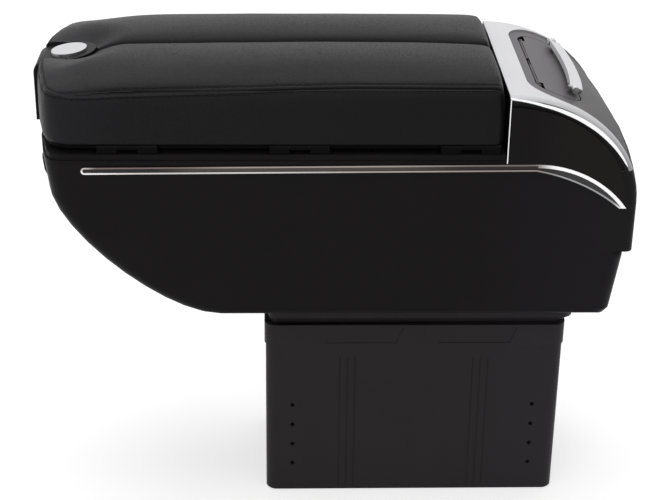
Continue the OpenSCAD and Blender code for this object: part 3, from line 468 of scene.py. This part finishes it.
finishes = {
    "base_sleeve": basePlastic, "neck_sleeve": basePlastic, "neck_screws": springSteel, "body_tub": bodyPlastic,
    "top_frame": framePlastic, "frame_screws": springSteel, "front_plate": bodyPlastic, "button_housing": bodyPlastic,
    "button_cap": satinMetal, "button_plunger": innerPlastic, "button_spring": springSteel, "latch_bar": innerPlastic,
    "latch_spring": springSteel, "left_door_shell": innerPlastic, "right_door_shell": innerPlastic,
    "left_pad": padLeather, "right_pad": padLeather, "left_hinge_pin": pinSteel, "right_hinge_pin": pinSteel,
    "rear_cover": deckPlastic, "silver_frame": silverLacquer, "left_side_panel": glossBlack,
    "right_side_panel": glossBlack, "left_hood_trim": chrome, "right_hood_trim": chrome, "left_side_trim": sideChrome,
    "right_side_trim": sideChrome, "left_trim_insert": smokeInsert, "right_trim_insert": smokeInsert,
    "ashtray_bin": binPlastic, "ashtray_lid": deckPlastic, "ashtray_handle": handleSilver, "ashtray_pin": pinSteel,
}
for name, finish in finishes.items():
    nodes[name].data.materials.clear()
    nodes[name].data.materials.append(finish)
print("finishes given to", len(finishes), "nodes")

# Padded leaves, in mm: outline, the height of the edge and its dip near the front, the middle fold
padSizes = {
    "front": -188.0, "frontBulge": 12.0, "rear": 100.6, "halfWidth": 73.0, "gap": 0.4, "cornerR": 13.0, "rearR": 4.0,
    "bottom": 264.62, "edge": 298.1, "edgeDip": 2.4, "dipAt": -156.0, "dipReach": 22.0, "dipFrom": 40.0,
    "dipOver": 20.0, "noseRise": 0.9, "noseWithin": 60.0, "noseOver": 40.0, "noseFrom": -160.0, "noseReach": 10.0,
    "foldDip": 3.4, "foldWidth": 1.3, "topFrom": 285.0, "leastGap": 0.12,
}
# Room for the button's tongue: the hole's circle and half width, and the scallop that rises away from it
tongueRoom = {
    "x": -169.0, "r": 17.8, "half": 15.9, "top": 299.6, "blend": 3.5, "reach": 60.0, "slope": 0.2,
    "slopeBehind": 0.25, "behindOver": 20.0,
}
# Rings that the pad's mesh is built from: inset and height over the bottom, then insets over the crown
padRings = {
    "walls": [(0.6, -3.6), (0.3, 0.0), (0.3, 16.0), (0.5, 24.0)], "shoulder": (0.8, 3.4),
    "crown": [2.2, 3.4, 5.0, 8.0, 11.5, 16.0, 21.0, 26.0, 31.0, 35.0], "crownDrop": 0.5,
    "long": 46, "end": 12, "corner": 8, "rearCorner": 4,
}
# The cloth pass: voxels, cap and held zones in mm, and the share of the swelling that is kept
padCloth = {
    "voxel": 4.0, "cap": 1.6, "share": 0.7, "pressure": 4.0, "stiffness": 40.0, "bending": 8.0, "quality": 5,
    "lastFrame": 20, "heldOver": 3.0, "heldInside": 2.4, "smoothing": 3, "finer": 2,
}
# Height of the pad's top over its edge, from the middle groove out to the side, in mm
crownAcross = {
    "v": [0.0, 6.0, 12.0, 24.0, 36.0, 46.0, 54.0, 60.0, 65.0, 68.0, 70.0, 71.3, 73.0],
    "rise": [9.6, 10.5, 11.1, 11.7, 11.4, 10.4, 9.0, 7.7, 6.4, 5.2, 3.8, 1.5, -2.0],
}
# Share of that height, by the distance behind the pad's front edge
crownAlong = {
    "x": [0.0, 4.0, 10.0, 18.0, 26.0, 34.0, 46.0, 70.0, 110.0, 180.0, 240.0, 266.0, 280.0, 286.0, 288.6],
    "share": [0.0, 0.16, 0.33, 0.5, 0.65, 0.75, 0.82, 0.88, 0.95, 1.0, 0.98, 0.93, 0.85, 0.72, 0.4],
}


def clamped(value):
    return max(0.0, min(1.0, value))


def frontLine(y):
    return padSizes["front"] + padSizes["frontBulge"] * (y / padSizes["halfWidth"]) ** 2


def edgeHeight(x, y):
    s = padSizes
    outside = clamped((abs(y) - s["dipFrom"]) / s["dipOver"])
    dip = s["edgeDip"] * math.exp(-((x - s["dipAt"]) / s["dipReach"]) ** 2) * outside
    nose = clamped((s["noseWithin"] - abs(y)) / s["noseOver"]) * clamped((s["noseFrom"] - x) / s["noseReach"])
    return s["edge"] - dip + s["noseRise"] * nose


def crownHeight(x, y):
    v = abs(y)
    across = np.interp(v, crownAcross["v"], crownAcross["rise"])
    along = np.interp(x - frontLine(v), crownAlong["x"], crownAlong["share"])
    return edgeHeight(x, y) + across * (along if across > 0 else 1.0)


# The pad's outline, a given way in: groove, front, front corner, side, rear corner and rear
def leafLoop(inset):
    s, n = padSizes, padRings
    inner, outer = s["gap"] + inset, s["halfWidth"] - inset
    rear = s["rear"] - inset
    r = max(2.0, s["cornerR"] - inset)
    rr = max(1.0, s["rearR"] - inset)

    def frontX(y):
        return frontLine(y) + inset

    def quarter(steps):
        return [math.radians(90 * i / steps) for i in range(steps)]

    points = [(rear + (frontX(inner) - rear) * i / n["long"], inner) for i in range(n["long"])]
    across = [inner + (outer - r - inner) * i / n["end"] for i in range(n["end"])]
    points += [(frontX(y), y) for y in across]
    turned = [(outer - r + r * math.sin(a), r * (1 - math.cos(a))) for a in quarter(n["corner"])]
    points += [(frontX(y) + back, y) for y, back in turned]
    sideStart = frontX(outer) + r
    points += [(sideStart + (rear - rr - sideStart) * i / n["long"], outer) for i in range(n["long"])]
    points += [(rear - rr + rr * math.sin(a), outer - rr + rr * math.cos(a)) for a in quarter(n["rearCorner"])]
    points += [(rear, outer - rr + (inner - outer + rr) * i / n["end"]) for i in range(n["end"])]
    return points


# The part of the outline that is sewn: front, front corner and side
def sewnPart(inset):
    return leafLoop(inset)[padRings["long"]:-(padRings["rearCorner"] + padRings["end"])]


def leafMesh(name):
    rings = padRings
    loops = [[(x, y, padSizes["bottom"] + h) for x, y in leafLoop(inset)] for inset, h in rings["walls"]]
    shoulderIn, shoulderDrop = rings["shoulder"]
    loops.append([(x, y, edgeHeight(x, y) - shoulderDrop) for x, y in leafLoop(shoulderIn)])
    for inset in rings["crown"]:
        loops.append([(x, y, crownHeight(x, y) - rings["crownDrop"]) for x, y in leafLoop(inset)])
    n = len(loops[0])
    verts = [p for loop in loops for p in loop]
    faces = [list(range(n))[::-1], [(len(loops) - 1) * n + i for i in range(n)]]
    for k in range(len(loops) - 1):
        for i in range(n):
            j = (i + 1) % n
            faces.append([k * n + i, k * n + j, (k + 1) * n + j, (k + 1) * n + i])
    mesh = bpy.data.meshes.new(name)
    mesh.from_pydata([(x * mm, y * mm, z * mm) for x, y, z in verts], [], faces)
    mesh.update()
    return mesh


def applied(obj, name):
    graph = bpy.context.evaluated_depsgraph_get()
    graph.update()
    mesh = bpy.data.meshes.new_from_object(obj.evaluated_get(graph))
    mesh.name = name
    return mesh


def meshPoints(mesh):
    flat = np.empty(len(mesh.vertices) * 3)
    mesh.vertices.foreach_get("co", flat)
    return flat.reshape(-1, 3)


def setPoints(mesh, points):
    mesh.vertices.foreach_set("co", points.astype(np.float32).ravel())
    mesh.update()


def fixNormals(mesh, reach=1e-6):
    work = bmesh.new()
    work.from_mesh(mesh)
    bmesh.ops.remove_doubles(work, verts=work.verts, dist=reach)
    bmesh.ops.recalc_face_normals(work, faces=work.faces)
    work.to_mesh(mesh)
    work.free()


def swell(obj, holdBelow, holdInside):
    c = padCloth
    start = meshPoints(obj.data)
    group = obj.vertex_groups.new(name="held")
    for i, p in enumerate(start):
        if p[2] < holdBelow or abs(p[1]) < holdInside:
            group.add([i], 1.0, "REPLACE")
    cloth = obj.modifiers.new("cloth", "CLOTH")
    cloth.settings.use_pressure = True
    cloth.settings.uniform_pressure_force = c["pressure"]
    cloth.settings.vertex_group_mass = "held"
    cloth.settings.effector_weights.gravity = 0.0
    cloth.settings.tension_stiffness = cloth.settings.compression_stiffness = c["stiffness"]
    cloth.settings.bending_stiffness = c["bending"]
    cloth.settings.quality = c["quality"]
    cloth.point_cache.frame_start, cloth.point_cache.frame_end = 1, c["lastFrame"]
    for step in range(1, c["lastFrame"] + 1):
        scene.frame_set(step)
    mesh = applied(obj, obj.name + "Swollen")
    obj.modifiers.remove(cloth)
    scene.frame_set(1)
    moved = meshPoints(mesh) - start
    length = np.linalg.norm(moved, axis=1, keepdims=True)
    moved *= c["share"] * np.minimum(1.0, c["cap"] * mm / np.maximum(length, 1e-9))
    print("leaf swelled by up to", round(float(length.max()) / mm, 2), "mm, kept to", c["cap"] * c["share"])
    setPoints(mesh, start + moved)
    obj.data = mesh


def makeLeaf(side):
    c = padCloth
    sign = 1 if side == "right" else -1
    obj = bpy.data.objects.new(side + "PadRaw", leafMesh(side + "PadRaw"))
    scene.collection.objects.link(obj)
    fixNormals(obj.data)
    remesh = obj.modifiers.new("remesh", "REMESH")
    remesh.mode = "VOXEL"
    remesh.voxel_size = c["voxel"] * mm
    mesh = applied(obj, side + "PadVoxels")
    obj.modifiers.remove(remesh)
    obj.data = mesh
    smooth = obj.modifiers.new("smooth", "SMOOTH")
    smooth.iterations = c["smoothing"]
    obj.data = applied(obj, side + "PadSmooth")
    obj.modifiers.remove(smooth)
    swell(obj, (padSizes["bottom"] + c["heldOver"]) * mm, c["heldInside"] * mm)
    finer = obj.modifiers.new("finer", "SUBSURF")
    finer.levels = finer.render_levels = c["finer"]
    mesh = applied(obj, side + "PadCover")
    bpy.data.objects.remove(obj)
    shapeCover(mesh)
    if sign < 0:
        mesh.transform(Matrix.Diagonal((1, -1, 1, 1)))
        mesh.flip_normals()
    mesh.polygons.foreach_set("use_smooth", [True] * len(mesh.polygons))
    mesh.materials.clear()
    mesh.materials.append(padLeather)
    cover = bpy.data.objects.new(side + "PadCover", mesh)
    scene.collection.objects.link(cover)
    return cover


# How far the seam lies over the pad's edge, measured over the surface
seamLine = {
    "x": [-190.0, -150.0, -138.0, -119.0, -87.0, -55.0, -24.0, 8.0, 40.0, 71.0, 101.0],
    "over": [-0.1, -0.2, -0.6, -0.9, 0.0, 1.1, 2.0, 2.7, 2.5, 2.3, 2.3],
}


def seamOver(x):
    return float(np.interp(x, seamLine["x"], seamLine["over"]))


def edgeDistance(x, y):
    s = padSizes
    side, front, r = s["halfWidth"] - y, x - frontLine(y), s["cornerR"]
    if side < r and front < r:
        return r - math.hypot(r - side, r - front)
    return min(side, front)


def seamDistance(x, y, z):
    beyond = max(0.0, edgeDistance(x, y) - seamSizes["edgeIn"])
    over = z - edgeHeight(x, y)
    upward = over if beyond < seamSizes["shoulder"] or over < 0 else 1.0
    return math.copysign(math.hypot(beyond, over), upward) - seamOver(x)


# How deep the surface is pressed in at a distance from the seam, or how far it swells out
def seamRelief(x, y, away):
    q = seamSizes

    def ridge(offset, width):
        return math.exp(-(offset / width) ** 2)

    line = ridge(away, q["lineWidth"])
    rows = ridge(away - q["rowAbove"], q["rowWidth"]) + ridge(away + q["rowBelow"], q["rowWidth"])
    swollen = ridge(abs(away) - q["pillowAt"], q["pillowWidth"])
    wave = math.sin(2 * math.pi * (x + q["puckerLean"] * y) / q["puckerStep"])
    return q["line"] * (line - q["pillow"] * swollen) + q["rowDepth"] * rows + q["pucker"] * wave * swollen


# Keeps a point of the pad out of the button's tongue and lowers the top round it
def clearTongue(point):
    t = tongueRoom
    x, y, z = point
    dx, reach = x - t["x"], math.hypot(x - t["x"], y)
    if dx > 0 or abs(y) > t["half"]:
        if reach < t["r"]:
            x, y = t["x"] + dx * t["r"] / reach, y * t["r"] / reach
    elif dx < 0 and y < t["half"]:
        y = t["half"]
    if reach < t["reach"] and z > padSizes["topFrom"]:
        slope = t["slope"] + t["slopeBehind"] * clamped(dx / t["behindOver"])
        limit = t["top"] + slope * max(0.0, reach - t["r"])
        share = clamped(0.5 + 0.5 * (limit - z) / t["blend"])
        z = limit + (z - limit) * share - t["blend"] * share * (1 - share)
    return x, y, z


def shapeCover(mesh):
    s, q = padSizes, seamSizes
    points = meshPoints(mesh) / mm
    normals = np.empty(len(mesh.vertices) * 3)
    mesh.vertices.foreach_get("normal", normals)
    normals = normals.reshape(-1, 3)
    for i, (x, y, z) in enumerate(points):
        points[i, 2] -= s["foldDip"] * math.exp(-y / s["foldWidth"]) if z > s["topFrom"] else 0.0
        away = seamDistance(x, y, z)
        if abs(away) < q["reach"] and x < s["rear"] - q["rearEnd"]:
            points[i] -= normals[i] * seamRelief(x, y, away)
    for i, point in enumerate(points):
        x, y, z = clearTongue(point)
        points[i] = x, max(y, s["leastGap"]), max(z, s["bottom"])
    setPoints(mesh, points * mm)
    layer = mesh.attributes.new("seamAway", "FLOAT", "POINT")
    layer.data.foreach_set("value", [seamDistance(*p) for p in points])


leaves = {}
for side in ("left", "right"):
    leaf = makeLeaf(side)
    leaves[side] = leaf
    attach(leaf, side + "_door")
    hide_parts(side + "_pad")
    print(side, "pad cover:", len(leaf.data.polygons), "faces")

# Stitches along the seam, by a Geometry Nodes tree that follows a curve
stitchSizes = {"step": 0.0036, "length": 0.0027, "thickness": 0.00042, "lift": 0.00012}
threadMaterial = mouldedPlastic("stitchThread", "#1d1c1e", "#252326", (0.5, 0.6), 0.15, fineness=2500.0)


def stitchTree():
    tree = bpy.data.node_groups.new("stitchRow", "GeometryNodeTree")
    tree.interface.new_socket("Geometry", in_out="INPUT", socket_type="NodeSocketGeometry")
    for label, value in (("Step", 0.004), ("Length", 0.003), ("Thickness", 0.0005)):
        tree.interface.new_socket(label, in_out="INPUT", socket_type="NodeSocketFloat").default_value = value
    tree.interface.new_socket("Material", in_out="INPUT", socket_type="NodeSocketMaterial")
    tree.interface.new_socket("Geometry", in_out="OUTPUT", socket_type="NodeSocketGeometry")
    start, end = tree.nodes.new("NodeGroupInput"), tree.nodes.new("NodeGroupOutput")
    spaced = put(tree, "GeometryNodeResampleCurve", {"Curve": start.outputs["Geometry"]}, mode="LENGTH")
    tree.links.new(start.outputs["Step"], spaced.inputs["Length"])
    thread = put(tree, "GeometryNodeMeshUVSphere", {"Segments": 8, "Rings": 5, "Radius": 0.5})
    thick = start.outputs["Thickness"]
    size = put(tree, "ShaderNodeCombineXYZ", {"X": thick, "Y": thick, "Z": start.outputs["Length"]})
    tangent = put(tree, "GeometryNodeInputTangent")
    turned = put(tree, "FunctionNodeAlignRotationToVector", {"Vector": tangent.outputs[0]}, axis="Z")
    placed = put(tree, "GeometryNodeInstanceOnPoints", {
        "Points": spaced.outputs["Curve"], "Instance": thread.outputs["Mesh"], "Rotation": turned.outputs[0],
        "Scale": size.outputs[0]})
    real = put(tree, "GeometryNodeRealizeInstances", {"Geometry": placed.outputs[0]})
    finish = put(tree, "GeometryNodeSetMaterial", {
        "Geometry": real.outputs[0], "Material": start.outputs["Material"]})
    tree.links.new(finish.outputs[0], end.inputs["Geometry"])
    return tree


stitchRow = stitchTree()


def setInput(modifier, label, value):
    for item in modifier.node_group.interface.items_tree:
        if item.item_type == "SOCKET" and item.in_out == "INPUT" and item.name == label:
            modifier[item.identifier] = value


def treeMesh(name, mesh, tree, **values):
    obj = bpy.data.objects.new(name + "Path", mesh)
    scene.collection.objects.link(obj)
    modifier = obj.modifiers.new("tree", "NODES")
    modifier.node_group = tree
    for label, value in values.items():
        setInput(modifier, label, value)
    result = applied(obj, name)
    bpy.data.objects.remove(obj)
    return result


def pathCurve(name, lines):
    curve = bpy.data.curves.new(name, "CURVE")
    curve.dimensions = "3D"
    for line in lines:
        spline = curve.splines.new("POLY")
        spline.points.add(len(line) - 1)
        for point, place in zip(spline.points, line):
            point.co = (*place, 1.0)
    return curve


# Where the stitched rows are looked for on the pad, in mm; the way of a cast below the seam turns round the corner
rowCast = {
    "insets": (0.75, 8.1, 0.25), "lowInset": 1.0, "from": 330.0, "clearOfTongue": 18.5, "clearOfRear": 3.0,
    "step": 1.5, "frontUntil": -170.0, "frontAim": -80.0, "frontShare": 0.7, "turnFrom": -165.0, "turn": 0.02,
    "back": 20.0, "smoothing": 3,
}
downward = Vector((0.0, 0.0, -1.0))


def rowAbovePlaces(surface, sign):
    places = []
    for tries in zip(*[sewnPart(inset) for inset in np.arange(*rowCast["insets"]).tolist()]):
        found = []
        for x, y in tries:
            hit = surface.ray_cast(Vector((x, y * sign, rowCast["from"])) * mm, downward)
            if hit[0] is not None:
                found.append((abs(seamDistance(x, y, hit[0].z / mm) - seamSizes["rowAbove"]), (x, y)))
        if found:
            places.append(min(found)[1])
    return places


# Start and direction of the cast that finds the lower row from outside the pad
def castBelow(x, y, sign):
    r = rowCast
    if x < r["frontUntil"]:
        aim = Vector((r["frontAim"] - x, -y * r["frontShare"], 0.0))
    else:
        aim = Vector((min(0.0, r["turnFrom"] - x) * -r["turn"], -y, 0.0))
    aim.y *= sign
    aim.normalize()
    height = edgeHeight(x, y) + seamOver(x) - seamSizes["rowBelow"]
    return Vector((x, y * sign, height)) * mm - aim * r["back"] * mm, aim


def seamPath(side, row):
    r = rowCast
    sign = 1 if side == "right" else -1
    surface = BVHTree.FromObject(leaves[side], bpy.context.evaluated_depsgraph_get())
    wanted = rowAbovePlaces(surface, sign) if row == "above" else sewnPart(r["lowInset"])
    wanted = [(x, y) for x, y in wanted if y > r["clearOfTongue"] and x < padSizes["rear"] - r["clearOfRear"]]
    line = []
    for a, b in zip(wanted, wanted[1:]):
        steps = max(1, int(math.hypot(b[0] - a[0], b[1] - a[1]) / r["step"]))
        for i in range(steps):
            x, y = a[0] + (b[0] - a[0]) * i / steps, a[1] + (b[1] - a[1]) * i / steps
            cast = castBelow(x, y, sign) if row == "below" else (Vector((x, y * sign, r["from"])) * mm, downward)
            hit = surface.ray_cast(*cast)
            if hit[0] is not None:
                line.append(hit[0] + hit[1] * stitchSizes["lift"])
    for _ in range(r["smoothing"]):
        inner = [(line[i - 1] + line[i] * 2 + line[i + 1]) / 4 for i in range(1, len(line) - 1)]
        line = [line[0]] + inner + [line[-1]]
    return line


for side in ("left", "right"):
    rows = [seamPath(side, "above"), seamPath(side, "below")]
    mesh = treeMesh(
        side + "Stitches", pathCurve(side + "StitchPath", rows), stitchRow, Step=stitchSizes["step"],
        Length=stitchSizes["length"], Thickness=stitchSizes["thickness"], Material=threadMaterial)
    stitches = bpy.data.objects.new(side + "Stitches", mesh)
    scene.collection.objects.link(stitches)
    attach(stitches, side + "_door")
    print(side, "stitches:", len(mesh.polygons), "faces")

# Chrome line round the top of each black side panel, in mm: an arc by its angle, and an upright line in front
hoodStrip = {
    "centreX": 101.8, "centreZ": 226.0, "reach": 82.2, "height": 70.8, "outer": 75.4, "inner": 73.0,
    "turn": [90, 83, 75, 64, 53, 39, 30, 24, 22], "offset": [1.5, 2.4, 3.3, 3.5, 3.4, 3.0, 2.6, 2.3, 2.2],
    "width": [1.0, 1.3, 1.8, 2.3, 2.5, 2.2, 1.6, 1.0, 0.3], "front": 101.9, "frontWidth": 0.6, "frontLow": 253.6,
    "frontLap": 0.4, "arcSteps": 60, "arcAngle": 68, "frontSteps": 12,
}


def bandMesh(name, lines):
    h = hoodStrip
    verts, faces = [], []
    for line in lines:
        first = len(verts)
        for (ax, az), (bx, bz) in line:
            verts += [(ax, -h["outer"], az), (bx, -h["outer"], bz), (bx, -h["inner"], bz), (ax, -h["inner"], az)]
        count = len(line)
        for k in range(count - 1):
            for i in range(4):
                a, b = first + 4 * k + i, first + 4 * k + (i + 1) % 4
                faces.append([a, b, b + 4, a + 4])
        last = first + 4 * (count - 1)
        faces += [[first + 3, first + 2, first + 1, first], [last, last + 1, last + 2, last + 3]]
    mesh = bpy.data.meshes.new(name)
    mesh.from_pydata([(x * mm, y * mm, z * mm) for x, y, z in verts], [], faces)
    return mesh


def hoodLines():
    h = hoodStrip
    arc = []
    for i in range(h["arcSteps"] + 1):
        turn = 90 - h["arcAngle"] * i / h["arcSteps"]
        a = math.radians(turn)
        offset = np.interp(-turn, [-t for t in h["turn"]], h["offset"])
        half = np.interp(-turn, [-t for t in h["turn"]], h["width"]) / 2
        ends = [(h["centreX"] + (h["reach"] - o) * math.cos(a), h["centreZ"] + (h["height"] - o) * math.sin(a))
                for o in (offset - half, offset + half)]
        arc.append(tuple((float(x), float(z)) for x, z in ends))
    heights = np.linspace(h["frontLow"], arc[0][1][1] + h["frontLap"], h["frontSteps"]).tolist()
    return [arc, [((h["front"], z), (h["front"] + h["frontWidth"], z)) for z in heights]]


for side in ("left", "right"):
    mesh = bandMesh(side + "HoodLine", hoodLines())
    if side == "right":
        mesh.transform(Matrix.Diagonal((1, -1, 1, 1)))
    fixNormals(mesh)
    mesh.materials.append(chrome)
    strip = bpy.data.objects.new(side + "HoodLine", mesh)
    scene.collection.objects.link(strip)
    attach(strip, "console")
    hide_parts(side + "_hood_trim")
    print(side, "hood line:", len(mesh.polygons), "faces")

# Moulded forms with curved faces, shaded evenly over the CAD's own facets
evenForms = {
    "body_tub": ("console", "body_plastic"), "button_housing": ("console", "body_plastic"),
    "rear_cover": ("console", "deck_plastic"), "silver_frame": ("console", "silver_paint"),
    "base_sleeve": ("base", "base_plastic"), "neck_sleeve": ("console", "base_plastic"),
    "ashtray_lid": ("lid", "deck_plastic"), "ashtray_handle": ("lid", "chrome"),
    "left_side_panel": ("console", "gloss_black"), "right_side_panel": ("console", "gloss_black"),
    "button_cap": ("button", "satin_metal"),
}
evenAngle = 28.0  # degrees past which an edge stays sharp
evenMerge = 0.000004  # reach in metres for points of the CAD's loose triangles


def camelName(name):
    first, *rest = name.split("_")
    return first + "".join(word.capitalize() for word in rest)


def evenPiece(name, body):
    mesh = nodes[name].data.copy()
    fixNormals(mesh, evenMerge)
    mesh.polygons.foreach_set("use_smooth", [True] * len(mesh.polygons))
    mesh.set_sharp_from_angle(angle=math.radians(evenAngle))
    obj = bpy.data.objects.new(camelName(name) + "Raw", mesh)
    scene.collection.objects.link(obj)
    weighted = obj.modifiers.new("weighted", "WEIGHTED_NORMAL")
    weighted.keep_sharp = True
    weighted.weight = 100
    result = applied(obj, camelName(name))
    bpy.data.objects.remove(obj)
    piece = bpy.data.objects.new(camelName(name), result)
    scene.collection.objects.link(piece)
    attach(piece, body)
    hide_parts(name)


for name, (body, slotName) in evenForms.items():
    evenPiece(name, body)
print("evenly shaded forms:", len(evenForms))

# Floor, light and camera
studio = {"floorSize": 8.0, "floorTone": 0.6, "floorGlow": 0.62, "worldLow": 0.42}
lamps = {
    "topSoftbox": {"place": (0.0, 0.1, 1.5), "aim": (0.0, 0.0, 0.25), "size": (1.3, 1.3), "power": 12.0},
    "frontSoftbox": {"place": (-0.6, -1.4, 0.9), "aim": (0.0, 0.0, 0.2), "size": (0.8, 0.8), "power": 4.0},
    "backSoftbox": {"place": (0.0, 1.5, 0.95), "aim": (0.0, 0.0, 0.3), "size": (1.8, 0.45), "power": 1.6},
}
# Angles in degrees, lengths in metres, focal length in pixels of the photograph's width
cameraView = {
    "azimuth": -2.055, "elevation": 25.89, "roll": 0.841, "distance": 1.077, "focal": 1599.3, "height": 0.159,
    "pixelsAcross": 667, "sensor": 36.0,
}


def whiteFloor():
    material = bpy.data.materials.new("paleFloor")
    material.use_nodes = True
    tree = material.node_tree
    tree.nodes.remove(tree.nodes["Principled BSDF"])
    tone, level = studio["floorTone"], studio["floorGlow"]
    dull = put(tree, "ShaderNodeBsdfDiffuse", {"Color": (tone, tone, tone, 1.0)})
    glow = put(tree, "ShaderNodeEmission", {"Color": (level, level, level, 1.0), "Strength": seenDirectly(tree)})
    both = put(tree, "ShaderNodeAddShader", {0: dull.outputs[0], 1: glow.outputs[0]})
    tree.links.new(both.outputs[0], tree.nodes["Material Output"].inputs["Surface"])
    return material


def makeFloor():
    half = studio["floorSize"] / 2
    mesh = bpy.data.meshes.new("floor")
    mesh.from_pydata([(-half, -half, 0), (half, -half, 0), (half, half, 0), (-half, half, 0)], [], [[0, 1, 2, 3]])
    mesh.materials.append(whiteFloor())
    floor = bpy.data.objects.new("floor", mesh)
    scene.collection.objects.link(floor)


def makeWorld():
    world = bpy.data.worlds.new("studioWorld")
    world.use_nodes = True
    scene.world = world
    tree = world.node_tree
    strength = ranged(tree, seenDirectly(tree), 0.0, 1.0, studio["worldLow"], 1.0)
    tree.links.new(strength, tree.nodes["Background"].inputs["Strength"])
    tree.nodes["Background"].inputs["Color"].default_value = (1.0, 1.0, 1.0, 1.0)


def makeLamp(name, place, aim, size, power):
    data = bpy.data.lights.new(name, "AREA")
    data.shape = "RECTANGLE"
    data.size, data.size_y = size
    data.energy = power
    lamp = bpy.data.objects.new(name, data)
    lamp.location = place
    lamp.rotation_euler = (Vector(aim) - Vector(place)).to_track_quat("-Z", "Y").to_euler()
    scene.collection.objects.link(lamp)


def makeCamera():
    view = cameraView
    a, e, r = (math.radians(view[k]) for k in ("azimuth", "elevation", "roll"))
    back = Vector((math.sin(a) * math.cos(e), -math.cos(a) * math.cos(e), math.sin(e)))
    right = Vector((math.cos(a), math.sin(a), 0.0))
    up = back.cross(right)
    rolledRight = right * math.cos(r) + up * math.sin(r)
    rolledUp = up * math.cos(r) - right * math.sin(r)
    data = bpy.data.cameras.new("photoCamera")
    data.sensor_fit = "HORIZONTAL"
    data.sensor_width = view["sensor"]
    data.lens = view["focal"] * view["sensor"] / view["pixelsAcross"]
    camera = bpy.data.objects.new("photoCamera", data)
    spot = back * view["distance"] + Vector((0.0, 0.0, view["height"]))
    camera.matrix_world = Matrix.Translation(spot) @ Matrix((rolledRight, rolledUp, back)).transposed().to_4x4()
    scene.collection.objects.link(camera)
    scene.camera = camera


makeFloor()
makeWorld()
for name, lamp in lamps.items():
    makeLamp(name, **lamp)
makeCamera()
scene.view_settings.view_transform = "Standard"
print("studio ready")
